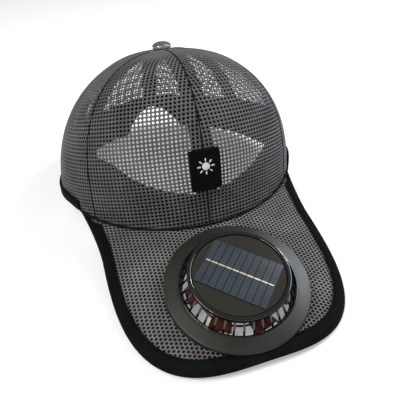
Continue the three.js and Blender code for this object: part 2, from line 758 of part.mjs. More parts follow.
function hubCap() {
  return spun([
    [0, HUB_PLATE_BASE],
    [hubRadius - HUB_CHAMFER, HUB_PLATE_BASE],
    [hubRadius, HUB_PLATE_BASE + HUB_CHAMFER],
    [hubRadius, HUB_TOP - HUB_CHAMFER],
    [hubRadius - HUB_CHAMFER, HUB_TOP],
    [bezelInner + HUB_CHAMFER / 2, HUB_TOP],
    [bezelInner, HUB_TOP - HUB_CHAMFER / 2],
    [bezelInner, hubFloor],
    [0, hubFloor],
  ]);
}

// Solar disc, with a row of cells over it and the bar that joins them

const discTop = HUB_TOP - DISC_BELOW_BEZEL;
const cellTop = discTop + GAP + CELL_THICKNESS;
const discRadius = bezelInner - GAP;
const cellRoom = 2 * Math.sqrt((discRadius - CELL_MARGIN) ** 2 - (CELL_LENGTH / 2) ** 2);
const cellCount = Math.floor(cellRoom / CELL_PITCH);
const cellRowLength = cellCount * CELL_PITCH;

function solarDisc() {
  const base = hubFloor + GAP;
  return spun([[0, base], [discRadius, base], [discRadius, discTop], [0, discTop]]);
}

function solarCell(k) {
  const cell = new THREE.BoxGeometry(CELL_PITCH - CELL_DIVIDER, CELL_LENGTH, CELL_THICKNESS);
  const along = (k + 0.5) * CELL_PITCH - cellRowLength / 2;
  return cell.translate(along, 0, cellTop - CELL_THICKNESS / 2).rotateZ(rad(CELLS_TURN_DEG));
}

function busbar() {
  const bar = new THREE.BoxGeometry(cellRowLength - CELL_PITCH / 2, BUSBAR_WIDTH, BUSBAR_THICKNESS);
  return bar.translate(0, 0, cellTop + BUSBAR_THICKNESS).rotateZ(rad(CELLS_TURN_DEG));
}

// Motor can, with a blind bore for the shaft

function motorCan() {
  const top = HUB_PLATE_BASE - GAP;
  const bore = SHAFT_RADIUS + GAP;
  const boreTop = SHAFT_BASE + SHAFT_LENGTH + GAP;
  return spun([
    [0, boreTop],
    [bore, boreTop],
    [bore, MOTOR_BASE],
    [MOTOR_RADIUS - MOTOR_CHAMFER, MOTOR_BASE],
    [MOTOR_RADIUS, MOTOR_BASE + MOTOR_CHAMFER],
    [MOTOR_RADIUS, top],
    [0, top],
  ], SMALL_ROUND_SIDES);
}

function motorShaft() {
  const top = SHAFT_BASE + SHAFT_LENGTH;
  const profile = [[0, SHAFT_BASE], [SHAFT_RADIUS, SHAFT_BASE], [SHAFT_RADIUS, top], [0, top]];
  return spun(profile, SMALL_ROUND_SIDES / 2);
}

// Rotor: a hub bored for the shaft, with swept blades

function fanRotor() {
  const top = ROTOR_BASE + ROTOR_HEIGHT;
  const bore = SHAFT_RADIUS + GAP;
  const section = [[bore, ROTOR_BASE], [ROTOR_HUB_RADIUS, ROTOR_BASE], [ROTOR_HUB_RADIUS, top], [bore, top]];
  const pieces = [turned(() => section, SMALL_ROUND_SIDES)];
  const rise = ROTOR_HEIGHT - 2 * BLADE_THICKNESS;
  const tipRadius = BORE_RADIUS - ROTOR_TIP_CLEARANCE;
  const place = (i, j, lift) => {
    const out = i / BLADE_STEPS;
    const over = j / BLADE_STEPS;
    const flatter = 1 - BLADE_TWIST * out;
    const radius = THREE.MathUtils.lerp(ROTOR_HUB_RADIUS - BLADE_THICKNESS, tipRadius, out);
    const angle = rad(BLADE_LEAN_DEG * out + BLADE_SPAN_DEG * flatter * over);
    const height = ROTOR_BASE + BLADE_THICKNESS / 2 + rise * smooth(0, 1, over) * flatter + lift;
    return new THREE.Vector3(radius * Math.cos(angle), radius * Math.sin(angle), height);
  };
  const upper = (i, j) => place(i, j, BLADE_THICKNESS);
  const lower = (i, j) => place(i, j, 0);
  const blade = wall(BLADE_STEPS, BLADE_STEPS, upper, lower);
  for (let k = 0; k < BLADE_COUNT; k += 1) {
    pieces.push(blade.clone().rotateZ((k / BLADE_COUNT) * 2 * Math.PI));
  }
  return joined(pieces);
}

// Guard grille, with a clamp ring that follows the peak's underside

function guardGrille() {
  const barTop = GUARD_BASE + GUARD_BAR_THICKNESS;
  const inner = BORE_RADIUS - GUARD_OVERHANG;
  const under = (radius, angle) => fanSurface(radius * Math.cos(angle)) - peakDepth - GAP;
  const clamp = turned((angle) => [
    [inner, GUARD_BASE],
    [guardRadius, GUARD_BASE],
    [guardRadius, under(guardRadius, angle)],
    [ductRadius + 2 * GAP, under(ductRadius, angle)],
    [ductRadius + GAP, -DUCT_DEPTH - GAP],
    [inner, -DUCT_DEPTH - GAP],
  ]);
  const centre = GUARD_CENTRE_RADIUS;
  const disc = [[0, GUARD_BASE], [centre, GUARD_BASE], [centre, barTop], [0, barTop]];
  const pieces = [clamp, spun(disc, SMALL_ROUND_SIDES / 2)];
  for (let k = 1; k <= GUARD_RINGS; k += 1) {
    const low = THREE.MathUtils.lerp(centre, inner, k / (GUARD_RINGS + 1)) - GUARD_BAR_WIDTH / 2;
    const high = low + GUARD_BAR_WIDTH;
    const section = [[low, GUARD_BASE], [high, GUARD_BASE], [high, barTop], [low, barTop]];
    pieces.push(turned(() => section, SMALL_ROUND_SIDES));
  }
  const length = inner - centre + 2 * GUARD_BAR_WIDTH;
  const spoke = new THREE.BoxGeometry(length, GUARD_BAR_WIDTH, GUARD_SPOKE_THICKNESS);
  spoke.translate((inner + centre) / 2, 0, GUARD_BASE + GUARD_BAR_THICKNESS / 2);
  for (let k = 0; k < GUARD_SPOKES; k += 1) {
    pieces.push(spoke.clone().rotateZ((k / GUARD_SPOKES) * 2 * Math.PI));
  }
  return joined(pieces);
}

// Finishes

function finish(color, roughness, metalness = 0) {
  return new THREE.MeshStandardMaterial({ color, roughness, metalness });
}

const NET = finish(0x6f7077, 0.85);
const TAPE = finish(0x1c1c1f, 0.9);
const BINDING = finish(0x1a1d22, 0.8);
const PEAK_NET = finish(0x67676b, 0.85);
const RUBBER = finish(0x101113, 0.6);
const BUTTON = finish(0x9a9a94, 0.4, 0.6);
const FLANGE = finish(0x3b3c38, 0.55);
const GLOSS = finish(0x0e0e0f, 0.15);
const DISC = finish(0x2c2a22, 0.12);
const CELL = finish(0x4b586c, 0.25, 0.3);
const SILVER = finish(0xd8cfb4, 0.35, 0.7);
const CAN = finish(0xb9b9b6, 0.3, 0.9);
const BLADES = finish(0x4a211c, 0.3);

// Assembly

const hat = new THREE.Group();
const fan = new THREE.Group();
fan.position.copy(fanCentre);
fan.rotation.x = rad(PEAK_SLOPE_DEG);
hat.add(fan);

function add(group, name, geometry, material) {
  const mesh = new THREE.Mesh(geometry, material);
  mesh.name = name;
  group.add(mesh);
}

function addPair(name, right, material) {
  add(hat, `${name}_right`, right, material);
  add(hat, `${name}_left`, mirrored(right), material);
}

for (const [place, turns] of Object.entries(columnTurns)) addPair(`panel_${place}`, panel(turns), NET);
add(hat, "tape_front", seamTape(seamTurn.front), TAPE);
addPair("tape_front_side", seamTape(seamTurn.frontSide), TAPE);
addPair("tape_rear_side", seamTape(seamTurn.rearSide), TAPE);
add(hat, "tape_rear", seamTape(seamTurn.rear), TAPE);
add(hat, "sweatband", sweatband(), TAPE);
add(hat, "rim_binding", rimBinding(), BINDING);
add(hat, "crown_button", crownButton(), BUTTON);
add(hat, "label_patch", labelPatch(), RUBBER);
add(hat, "peak", peak(), PEAK_NET);
add(hat, "peak_binding", peakBinding(), BINDING);

add(fan, "fan_flange", fanFlange(), FLANGE);
add(fan, "rib_ring", ribRing(), GLOSS);
add(fan, "hub_cap", hubCap(), GLOSS);
add(fan, "solar_disc", solarDisc(), DISC);
for (let k = 0; k < cellCount; k += 1) {
  add(fan, `solar_cell_${String(k + 1).padStart(2, "0")}`, solarCell(k), CELL);
}
add(fan, "busbar", busbar(), SILVER);
add(fan, "motor_can", motorCan(), CAN);
add(fan, "motor_shaft", motorShaft(), CAN);
add(fan, "fan_rotor", fanRotor(), BLADES);
add(fan, "guard_grille", guardGrille(), GLOSS);

// Tip the cap until the front of its peak and the back of its rim touch the table together

hat.updateMatrixWorld(true);
const places = [];
hat.traverse((object) => {
  if (!object.isMesh) return;
  const position = object.geometry.attributes.position;
  for (let k = 0; k < position.count; k += 1) {
    places.push(new THREE.Vector3().fromBufferAttribute(position, k).applyMatrix4(object.matrixWorld));
  }
});
const lowest = (pitch, isSide) => Math.min(
  ...places.filter(isSide).map((p) => p.y * Math.sin(pitch) + p.z * Math.cos(pitch)),
);
let [level, steep] = [0, -Math.PI / 4];
for (let k = 0; k < 40; k += 1) {
  const pitch = (level + steep) / 2;
  const frontIsLower = lowest(pitch, (p) => p.y < 0) < lowest(pitch, (p) => p.y >= 0);
  if (frontIsLower) level = pitch;
  else steep = pitch;
}
hat.rotation.x = (level + steep) / 2;

const cap = new THREE.Group();
cap.add(hat);
cap.updateMatrixWorld(true);
const box = new THREE.Box3().setFromObject(cap, true);
hat.position.set(0, -(box.min.y + box.max.y) / 2, -box.min.z);

export default cap;
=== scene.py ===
# Cap of see-through net with a solar fan in its long peak, resting on a pale table.
# Sizes are millimetres in the cap's own frame, whose XY plane is the base of the crown.
# cap_frame and fan_frame carry them onto the table, in metres.

import json
import math

import bmesh
import bpy
import numpy as np
from mathutils import Matrix, Vector


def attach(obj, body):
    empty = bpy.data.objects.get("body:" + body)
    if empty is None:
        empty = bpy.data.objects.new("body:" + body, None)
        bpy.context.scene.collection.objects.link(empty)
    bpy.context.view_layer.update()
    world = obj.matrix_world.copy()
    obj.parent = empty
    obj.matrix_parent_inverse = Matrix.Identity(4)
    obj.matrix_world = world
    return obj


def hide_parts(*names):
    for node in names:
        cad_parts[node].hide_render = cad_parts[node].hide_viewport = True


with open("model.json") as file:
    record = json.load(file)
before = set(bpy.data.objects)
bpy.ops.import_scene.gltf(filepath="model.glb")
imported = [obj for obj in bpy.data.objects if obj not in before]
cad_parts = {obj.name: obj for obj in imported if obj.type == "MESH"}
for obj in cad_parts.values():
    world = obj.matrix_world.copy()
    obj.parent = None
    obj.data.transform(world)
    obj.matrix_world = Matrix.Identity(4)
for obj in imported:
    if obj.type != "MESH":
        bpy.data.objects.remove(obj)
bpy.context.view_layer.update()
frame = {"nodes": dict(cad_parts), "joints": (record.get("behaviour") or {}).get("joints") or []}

MM = 0.001
GAP = 0.3

# Crown
CROWN_HALF_WIDTH = 88
CROWN_FRONT = 85.5
CROWN_BACK = 90.7
CROWN_HEIGHT = 95
APEX_FORWARD = 3
APEX_HOLE_RADIUS = 4
FRONT_FULLNESS = 3.39
SIDE_FULLNESS = 2.18
BACK_FULLNESS = 2.56
MERIDIAN_BULGE = 0.028
SIDE_FLARE = 0.065
PANEL_THICKNESS = 1.2
FRONT_SIDE_SEAM = math.radians(53)
REAR_SIDE_SEAM = math.radians(124)

# Rim
PEAK_ROOT = math.radians(62.2)
RIM_SIDE = math.radians(74)
RIM_SIDE_HEIGHT = -1.5
RIM_RISE_START = math.radians(80)
RIM_RISE_END = math.radians(165)
RIM_BACK_HEIGHT = 15
REAR_ARCH_HEIGHT = 24
REAR_ARCH_HALF = math.radians(18)
RIM_BINDING_HEIGHT = 9
BINDING_THICKNESS = 0.9

# Net of the crown, of the button and of the peak; holes are shares of a cell
NET_PITCH = 2.6
NET_HOLE = 0.325
NET_THREAD = 0.6
FIRST_ROW_SHARE = 0.1
NARROWEST_GORE = 1.0
BUTTON_NET_PITCH = 2.2
BUTTON_NET_REACH = 5
BUTTON_NET_THREAD = 0.8 * NET_THREAD
PEAK_NET_PITCH = (2.5, 2.2)
PEAK_NET_HOLE = 0.66
PEAK_NET_THREAD = 0.55
PEAK_NET_TUCK = 3
PEAK_NET_PAST_ROOT = 0.02

# Tapes, fold of the seams, cord and sweatband
SEAM_TAPE_WIDTH = 14
SEAM_TAPE_THICKNESS = 1
SEAM_TAPE_CLEARANCE = 0.5
TAPE_END_BELOW_APEX = 13.52
TAPE_STITCH_INSET = 1.6
FOLD_WIDTH = 1.1
FOLD_CRESTS = (-0.75, -0.2, 0, -0.2, -0.75)
FOLD_SUNK = 0.05
SEAM_CORD_RADIUS = 0.75
SEAM_CORD_LIFT = 0.7
SWEATBAND_TOP = 42
SWEATBAND_THICKNESS = 1.5
SWEATBAND_CLEARANCE = 0.5
SWEATBAND_PUFF = 0.35
SWEATBAND_EDGE = 0.4
SWEATBAND_STITCH_INSET = 2.0

# Edge of the sweatband: degrees from the front, and its height there as shares of SWEATBAND_TOP
SWEATBAND_TURNS = (0, 16, 26, 34, 41, 55, 112, 143, 160, 180)
SWEATBAND_SHARES = (0.13, 0.29, 0.43, 0.61, 0.81, 0.97, 1.0, 1.03, 1.12, 1.2)

# Stitches: each ring's place along one, its thickness and its lift, as shares
STITCH_LENGTH = 2.1
STITCH_THICKNESS = 0.6
STITCH_SPACING = 2.9
STITCH_LIFT = 0.1
STITCH_RINGS = ((-0.5, 0.35, -0.4), (-0.3, 0.9, 0), (0, 1, 0.15), (0.3, 0.9, 0), (0.5, 0.35, -0.4))
BINDING_STITCH_SPACING = 3.1
BINDING_STITCH_INSET = 1.5

# Button and label; the button's foot is in from its side and up from its base
BUTTON_RADIUS = 7.3
BUTTON_HEIGHT = 4.8
BUTTON_EDGE = 1
BUTTON_FOOT = ((0.6, 0), (0.1, 0.5))
BUTTON_NET_ARC = 1.32 * BUTTON_RADIUS
LABEL_WIDTH = 20
LABEL_HEIGHT = 28
LABEL_THICKNESS = 1.6
LABEL_CORNER = 2
LABEL_CENTRE_HEIGHT = 26
LABEL_PLATE = 1.0
LABEL_BORDER_OUTSIDE = (0.2, 0.5)
LABEL_BORDER_INSIDE = (1.5, 1.8)
LABEL_RAISED = 1e-6
SUN_UP = 3
SUN_RADIUS = 2.4
SUN_RAYS = 8
SUN_RAY_START = 3.3
SUN_RAY_LENGTH = 2.1
SUN_RAY_WIDTH = 0.7
SUN_RAY_ROUND = 0.4
SUN_SUNK = 0.1
SUN_RISE = 0.25
SUN_FACE_SHARE = 0.94
SUN_FACE_SWELL = 0.05

# Peak
PEAK_ROOT_DROP = 14.3
PEAK_SLOPE = math.radians(24.6)
PEAK_HALF_WIDTH = 75
PEAK_SIDE_DROP = 10.1
PEAK_SHOULDER_BEHIND = 1.8
PEAK_FRONT_FULLNESS = 2.99
PEAK_SIDE_SWEEP = 1.52
PEAK_THICKNESS = 2
PEAK_TUCK = 5
PEAK_BINDING_WIDTH = 7.2
PEAK_BINDING_START = 3.2
BINDING_OVERLAP = 2.5
BINDING_BEND = 1.3
BINDING_SWELL = 0.12
BINDING_SWELL_SHARE = 0.55
TANGENT_REACH = 1.5

# Fan
FLANGE_ROOM = 4.95
GUARD_ROOM = 1.74
BORE_RADIUS = 35.2
DUCT_WALL = 1.6
DUCT_DEPTH = 4.6
FLANGE_WIDTH = 9.4
FLANGE_SHOULDER = 3.3
FLANGE_RIM_HEIGHT = 4.8
FLANGE_LIP = 0.5
FLANGE_FOOT = 0.3
FLANGE_FACE_SHARES = (0.1, 0.9)
EDGE_ROUND = 1.1
BEAD_RADIUS = 0.6
BEAD_SUNK = 0.4
BINDING_STEP_MARGIN = 4.5
BINDING_STEP_HALF = 1
RIB_COUNT = 36
RIB_WIDTH = 1.3
RIB_DEPTH = 1.5
RIB_DEPTH_SHARE = 0.7
RIB_LEAN = 0.85
RIB_RING_BASE = 0.6
RIB_RING_THICKNESS = 1.3
HUB_ROOM = 4.4
HUB_TOP = 14.5
HUB_PLATE_BASE = 11.4
HUB_PLATE_THICKNESS = 1
HUB_EDGE = 0.5
HUB_ROUND = 0.7
BEZEL_WIDTH = 2.5
DISC_BELOW_BEZEL = 0.8
DISC_EDGE = 0.3
CELL_COUNT = 10
CELL_PITCH = 4.5
CELL_DIVIDER = 0.35
CELL_THICKNESS = 0.3
CELLS_TURN = math.radians(-43)
FINGERS_IN_CELL = 3
FINGER_WIDTH = 0.05
FINGER_STRENGTH = 0.55
BUSBAR_WIDTH = 0.9
BUSBAR_THICKNESS = 0.2
BUSBAR_BREAK = 0.15
BUSBAR_END_SHARE = 0.75
BUSBAR_ROUND = 0.08
SHAFT_RADIUS = 1
ROTOR_HUB_RADIUS = 9.5
ROTOR_HUB_ROUND = 0.8
ROTOR_BASE = -3
ROTOR_HEIGHT = 6
ROTOR_TIP_CLEARANCE = 3.2
BLADE_COUNT = 7
BLADE_SPAN = math.radians(34)
BLADE_LEAN = math.radians(12)
BLADE_TWIST = 0.25
BLADE_THICKNESS = 1
BLADE_EDGE_SHARE = 0.12
GUARD_RIM_WIDTH = 2.4
GUARD_BASE = -6
GUARD_EDGE = 0.3
GUARD_OUTER_EDGE = 0.5
GUARD_BAR_WIDTH = 1.2
GUARD_BAR_THICKNESS = 1
GUARD_BAR_ROUND = 0.35
GUARD_OVERHANG = 2
GUARD_SPOKES = 6
GUARD_CENTRE_RADIUS = 6
GUARD_RINGS = 2
SECTION_ROUND = 0.3
SPOKE_ROUND = 0.25
SPOKE_MARGIN = 0.1
SPOKE_SUNK = 1

# Copies round the fan's axis are made at this distance from it
COPY_RADIUS = 1.0

# Fineness of the meshes
FAN_SIDES = 144
RING_SIDES = 96
ROTOR_SIDES = 72
BUTTON_SIDES = 64
GUARD_CENTRE_SIDES = 48
SUN_SIDES = 40
BEAD_SIDES = 14
CORD_SIDES = 10
STITCH_SIDES = 6
CORNER_STEPS = 4
SMALL_CORNER_STEPS = 3
BEZEL_CORNER_STEPS = 5
BUSBAR_CORNER_STEPS = 2
OUTLINE_SIDE_STEPS = 60
OUTLINE_ROUND_STEPS = 120
GORE_TURNS = 60
GORE_STEPS = 400
SEAM_STEPS = 70
TAPE_COLUMNS = 9
BAND_TURNS = 240
BAND_ROWS = 10
FOLD_STEPS = 13
PEAK_BINDING_STEPS = 221
REACH_STEP = 0.1
CORD_STEPS = 181
RIM_STEPS = 90
ARCH_STEPS = 61
DOME_STEPS = 14
LABEL_STEPS = (81, 113)
PEAK_STEPS = (121, 25)
FLANGE_EDGE_STEPS = 8
FLANGE_FACE_STEPS = 6
RIB_STEPS = 7
BLADE_STEPS = (13, 9)
SEAM_MERGE = 1e-4
FINE_MERGE = 1e-5
NET_MERGE = 1e-3

# Camera, in the cap's frame
CAMERA_AZIMUTH = math.radians(-15.39)
CAMERA_ELEVATION = math.radians(24.94)
CAMERA_ROLL = math.radians(-6.14)
CAMERA_DISTANCE = 339.5
CAMERA_TARGET = (12.0, -40.0, -23.7)
CAMERA_LENS = 37.17
CAMERA_NEAREST = 0.01
SENSOR_WIDTH = 36

# Table and light, in metres
TABLE_HALF = 6.0
TABLE_GLOW = 0.24
WORLD_GLOW = 0.35
WORLD_COLOR = (0.95, 0.97, 1, 1)
CAP_MIDDLE = (0, 0, 0.04)
FAN_MIDDLE = (0, -0.1, 0.02)
WARM = (1, 0.97, 0.91)
COOL = (0.84, 0.91, 1)
NEUTRAL = (1, 1, 1)

peak_gradient = math.tan(PEAK_SLOPE)
peak_cosine = math.cos(PEAK_SLOPE)
peak_depth = PEAK_THICKNESS * peak_cosine

# Radii of the fan, out from its bore and in to its hub
DUCT_RADIUS = BORE_RADIUS + DUCT_WALL
FLANGE_RADIUS = BORE_RADIUS + FLANGE_WIDTH
GUARD_RADIUS = DUCT_RADIUS + GUARD_RIM_WIDTH
HUB_RADIUS = BORE_RADIUS - HUB_ROOM
ROTOR_TIP_RADIUS = BORE_RADIUS - ROTOR_TIP_CLEARANCE

# Heights and length on the hub
BEZEL_INNER = HUB_RADIUS - BEZEL_WIDTH
HUB_FLOOR = HUB_PLATE_BASE + HUB_PLATE_THICKNESS
DISC_TOP = HUB_TOP - DISC_BELOW_BEZEL
CELL_TOP = DISC_TOP + GAP + CELL_THICKNESS
ROW_LENGTH = CELL_COUNT * CELL_PITCH

# Layers inside the crown's net
TAPE_OUTER = -(PANEL_THICKNESS + SEAM_TAPE_CLEARANCE)
TAPE_INNER = TAPE_OUTER - SEAM_TAPE_THICKNESS
BAND_OUTER = TAPE_INNER - SWEATBAND_CLEARANCE
BAND_INNER = BAND_OUTER - SWEATBAND_THICKNESS
BINDING_TOP = GAP + BINDING_THICKNESS

# The fan sits just ahead of the crown, and the binding of the peak's front just ahead of its guard
FAN_AHEAD = FLANGE_ROOM + FLANGE_RADIUS * peak_cosine
GUARD_REACH = GUARD_RADIUS * peak_cosine - (peak_depth + GAP) * math.sin(PEAK_SLOPE)
PEAK_LENGTH = FAN_AHEAD + GUARD_REACH + GUARD_ROOM + PEAK_BINDING_WIDTH


# Shapes of the cap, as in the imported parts

def smooth(low, high, value):
    share = np.clip((value - low) / (high - low), 0, 1)
    return share * share * (3 - 2 * share)


def peak_top(x, y):
    curve = PEAK_SIDE_DROP / PEAK_HALF_WIDTH ** 2
    return -PEAK_ROOT_DROP + peak_gradient * (y + CROWN_FRONT) - curve * x * x


def rim_height(turn):
    away = np.abs(turn)
    root = np.minimum(away, PEAK_ROOT)
    on_peak = peak_top(CROWN_HALF_WIDTH * np.sin(root), -CROWN_FRONT * np.cos(root))
    side = smooth(PEAK_ROOT, RIM_SIDE, away)
    back = smooth(RIM_RISE_START, RIM_RISE_END, away)
    share = (math.pi - away) / REAR_ARCH_HALF
    arch = REAR_ARCH_HEIGHT * np.maximum(0, 1 - share * share)
    base = on_peak + (RIM_SIDE_HEIGHT - on_peak) * side
    return base + (RIM_BACK_HEIGHT - RIM_SIDE_HEIGHT) * back + arch


def crown_at(turn, height):
    sideways = np.sin(turn)
    forward = np.cos(turn)
    weight = sideways * sideways
    reach = np.where(forward > 0, CROWN_FRONT, CROWN_BACK)
    end = np.where(forward > 0, FRONT_FULLNESS, BACK_FULLNESS)
    power = end + (SIDE_FULLNESS - end) * weight
    share = np.clip(height / CROWN_HEIGHT, 0, 1)
    bulge = 1 + MERIDIAN_BULGE * np.sin(math.pi * share)
    radius = np.maximum(0, 1 - share ** power) ** (1 / power) * bulge
    flare = 1 + SIDE_FLARE * weight * (1 - share) ** 3
    return np.stack([
        CROWN_HALF_WIDTH * sideways * radius * flare,
        -reach * forward * radius - APEX_FORWARD * share,
        np.broadcast_to(height, radius.shape),
    ], -1)


class Crown:
    """The crown's surface as a table of meridians, from the rim to the apex."""

    TURNS = 720
    STEPS = 320
    FINER = 4
    CROWDING = 3

    def __init__(self):
        turns = np.linspace(-math.pi, math.pi, self.TURNS + 1)[:-1]
        shares = 1 - (1 - np.linspace(0, 1, self.FINER * self.STEPS + 1)) ** self.CROWDING
        low = rim_height(turns)
        heights = low[:, None] + (CROWN_HEIGHT - low[:, None]) * shares
        points = crown_at(turns[:, None], heights)
        steps = np.linalg.norm(np.diff(points, axis=1), axis=2)
        lengths = np.concatenate([np.zeros((self.TURNS, 1)), np.cumsum(steps, axis=1)], 1)
        self.total = lengths[:, -1]
        even = np.linspace(0, 1, self.STEPS + 1)
        self.points = np.array([
            [np.interp(even * row[-1], row, line[:, k]) for k in range(3)]
            for row, line in zip(lengths, points)
        ]).transpose(0, 2, 1)
        across = np.roll(self.points, -1, 0) - np.roll(self.points, 1, 0)
        normals = np.cross(across, np.gradient(self.points, axis=1))
        normals[:, -2:] = (0, 0, 1)
        self.normals = normals / np.linalg.norm(normals, axis=2, keepdims=True)

    def meridians(self, turn):
        """The meridians on both sides of a turn, and its share of the way between them."""
        place = np.mod(turn + math.pi, 2 * math.pi) / (2 * math.pi) * self.TURNS
        first = np.floor(place).astype(int)
        return first % self.TURNS, (first + 1) % self.TURNS, place - first

    def length(self, turn):
        """Length of the crown's surface from the rim to the apex."""
        first, after, share = self.meridians(turn)
        return self.total[first] * (1 - share) + self.total[after] * share

    def blended(self, table, turn, up):
        first, after, share = self.meridians(turn)
        a = share[..., None]
        height = np.clip(up, 0, 1) * self.STEPS
        low = np.minimum(np.floor(height).astype(int), self.STEPS - 1)
        b = (height - low)[..., None]
        lower = table[first, low] * (1 - a) + table[after, low] * a
        upper = table[first, low + 1] * (1 - a) + table[after, low + 1] * a
        return lower * (1 - b) + upper * b

    def layer(self, turn, length, offset):
        """Points at a turn and a length up from the rim, moved off the surface."""
        turn, length, offset = np.broadcast_arrays(turn, length, offset)
        up = length / self.length(turn)
        point = self.blended(self.points, turn, up)
        normal = self.blended(self.normals, turn, up)
        below = np.minimum(length, 0)[..., None] * np.array([0, 0, 1.0])
        return point + normal * offset[..., None] + below

    def apex_radius(self, turn, length):
        point = self.layer(turn, length, 0)
        return np.hypot(point[..., 0], point[..., 1] + APEX_FORWARD)

    def length_to_height(self, turn, height):
        """Length up each meridian at which it passes a height."""
        turns = np.atleast_1d(turn)
        shares = np.linspace(0, 1, self.STEPS + 1)
        out = []
        for one, level in zip(turns, np.broadcast_to(height, turns.shape)):
            line = self.blended(self.points, np.full(shares.shape, one), shares)
            out.append(np.interp(level, line[:, 2], shares) * self.length(one))
        return np.array(out)


crown = Crown()


def outline_half():
    """The peak's edge seen from above, from the right end of its root to its front."""
    flare = 1 + SIDE_FLARE * math.sin(PEAK_ROOT) ** 2
    root_x = CROWN_HALF_WIDTH * math.sin(PEAK_ROOT) * flare
    root_y = -CROWN_FRONT * math.cos(PEAK_ROOT)
    shoulder = -CROWN_FRONT + PEAK_SHOULDER_BEHIND
    front = -(CROWN_FRONT + PEAK_LENGTH)
    share = np.linspace(0, 1, OUTLINE_SIDE_STEPS + 1)[:-1]
    side = np.stack([
        root_x + (PEAK_HALF_WIDTH - root_x) * (1 - (1 - share) ** PEAK_SIDE_SWEEP),
        root_y + (shoulder - root_y) * share,
    ], 1)
    angle = np.linspace(0, math.pi / 2, OUTLINE_ROUND_STEPS + 1)
    power = 2 / PEAK_FRONT_FULLNESS
    round_over = np.stack([
        PEAK_HALF_WIDTH * np.maximum(0, np.cos(angle)) ** power,
        shoulder + (front - shoulder) * np.sin(angle) ** power,
    ], 1)
    return np.concatenate([side, round_over])


right_half = outline_half()
outline = np.concatenate([right_half * (-1, 1), right_half[-2::-1]])
outline_steps = np.concatenate([[0], np.cumsum(np.linalg.norm(np.diff(outline, axis=0), axis=1))])
outline_length = outline_steps[-1]


def along_outline(length):
    return np.stack([np.interp(length, outline_steps, outline[:, k]) for k in range(2)], -1)


def outline_at(share, inset):
    """Points of the outline at shares of its length, moved inwards; it runs on straight past its ends."""
    wanted = np.asarray(share) * outline_length
    inside = np.clip(wanted, 0, outline_length)
    tangent = along_outline(inside + TANGENT_REACH) - along_outline(inside - TANGENT_REACH)
    tangent /= np.linalg.norm(tangent, axis=-1, keepdims=True)
    past_end = wanted - inside
    inward = np.stack([-tangent[..., 1], tangent[..., 0]], -1)
    return along_outline(wanted) + tangent * past_end[..., None] + inward * np.asarray(inset)[..., None]


def inset_of(x, y):
    """How far places on the peak lie in from its outline."""
    place = np.stack([x, y], -1)
    return np.linalg.norm(place[..., None, :] - outline[::2], axis=-1).min(-1)


def within_outline(x, y):
    """Which places lie inside the peak's outline, closed across its root."""
    ax, ay = outline.T
    bx, by = np.roll(outline, -1, 0).T
    spans = (ay > y[:, None]) != (by > y[:, None])
    rise = np.where(by == ay, 1, by - ay)
    crossing = ax + (y[:, None] - ay) / rise * (bx - ax)
    return (spans & (x[:, None] < crossing)).sum(1) % 2 == 1


# Frames: the cap's, tipped onto the table, and the fan's, square to the peak

spin = frame["joints"][0]
fan_tilt = math.atan2(-spin["axis"][1], spin["axis"][2])
fan_y = -(CROWN_FRONT + FAN_AHEAD)
fan_centre = Vector((0, fan_y, peak_top(0, fan_y)))
at_fan = Matrix.Translation(Vector(spin["pos_m"]))
tipping = Matrix.Rotation(fan_tilt - PEAK_SLOPE, 4, "X")
millimetres = Matrix.Scale(MM, 4)
cap_frame = at_fan @ tipping @ Matrix.Translation(-fan_centre * MM) @ millimetres
fan_frame = at_fan @ Matrix.Rotation(fan_tilt, 4, "X") @ millimetres


# Meshes

def around(sides):
    """Even angles of a whole turn."""
    return np.linspace(0, 2 * math.pi, sides + 1)[:-1]


def loft(sections, closed=False):
    """Points, faces and UVs in millimetres of a skin through sections that are loops of corners."""
    rows, corners = sections.shape[:2]
    index = np.arange(rows * corners).reshape(rows, corners)
    spans = rows if closed else rows - 1
    here, there = index[:spans], np.roll(index, -1, 0)[:spans]
    faces = np.stack([here, np.roll(here, -1, 1), np.roll(there, -1, 1), there], -1).reshape(-1, 4)
    row_step = np.linalg.norm(np.roll(sections, -1, 0) - sections, axis=2).mean(1)
    corner_step = np.linalg.norm(np.roll(sections, -1, 1) - sections, axis=2).mean(0)
    u = np.concatenate([[0], np.cumsum(row_step)])
    v = np.concatenate([[0], np.cumsum(corner_step)])
    i, j = [grid.ravel() for grid in np.meshgrid(np.arange(spans), np.arange(corners), indexing="ij")]
    uvs = np.stack([
        np.stack([u[i], v[j]], -1),
        np.stack([u[i], v[j + 1]], -1),
        np.stack([u[i + 1], v[j + 1]], -1),
        np.stack([u[i + 1], v[j]], -1),
    ], 1).reshape(-1, 2)
    faces = faces.tolist()
    if not closed:
        faces += [index[0][::-1].tolist(), index[-1].tolist()]
        uvs = np.concatenate([uvs, np.zeros((2 * corners, 2))])
    return sections.reshape(-1, 3), faces, uvs


def wall(outer, inner):
    """A skin round two sheets of points, given as columns of rows."""
    return loft(np.concatenate([outer, inner[:, ::-1]], 1))


def turned(profile, sides=FAN_SIDES):
    """A skin round Z from a profile of radius and height, or from a function of the angle that gives one."""
    sections = []
    for angle in around(sides):
        section = np.array(profile(angle) if callable(profile) else profile, float)
        flat = section[:, :1] * np.array([[math.cos(angle), math.sin(angle)]])
        sections.append(np.concatenate([flat, section[:, 1:]], 1))
    return loft(np.array(sections), closed=True)


def rectangle(left, right, low, high):
    return [(left, low), (right, low), (right, high), (left, high)]


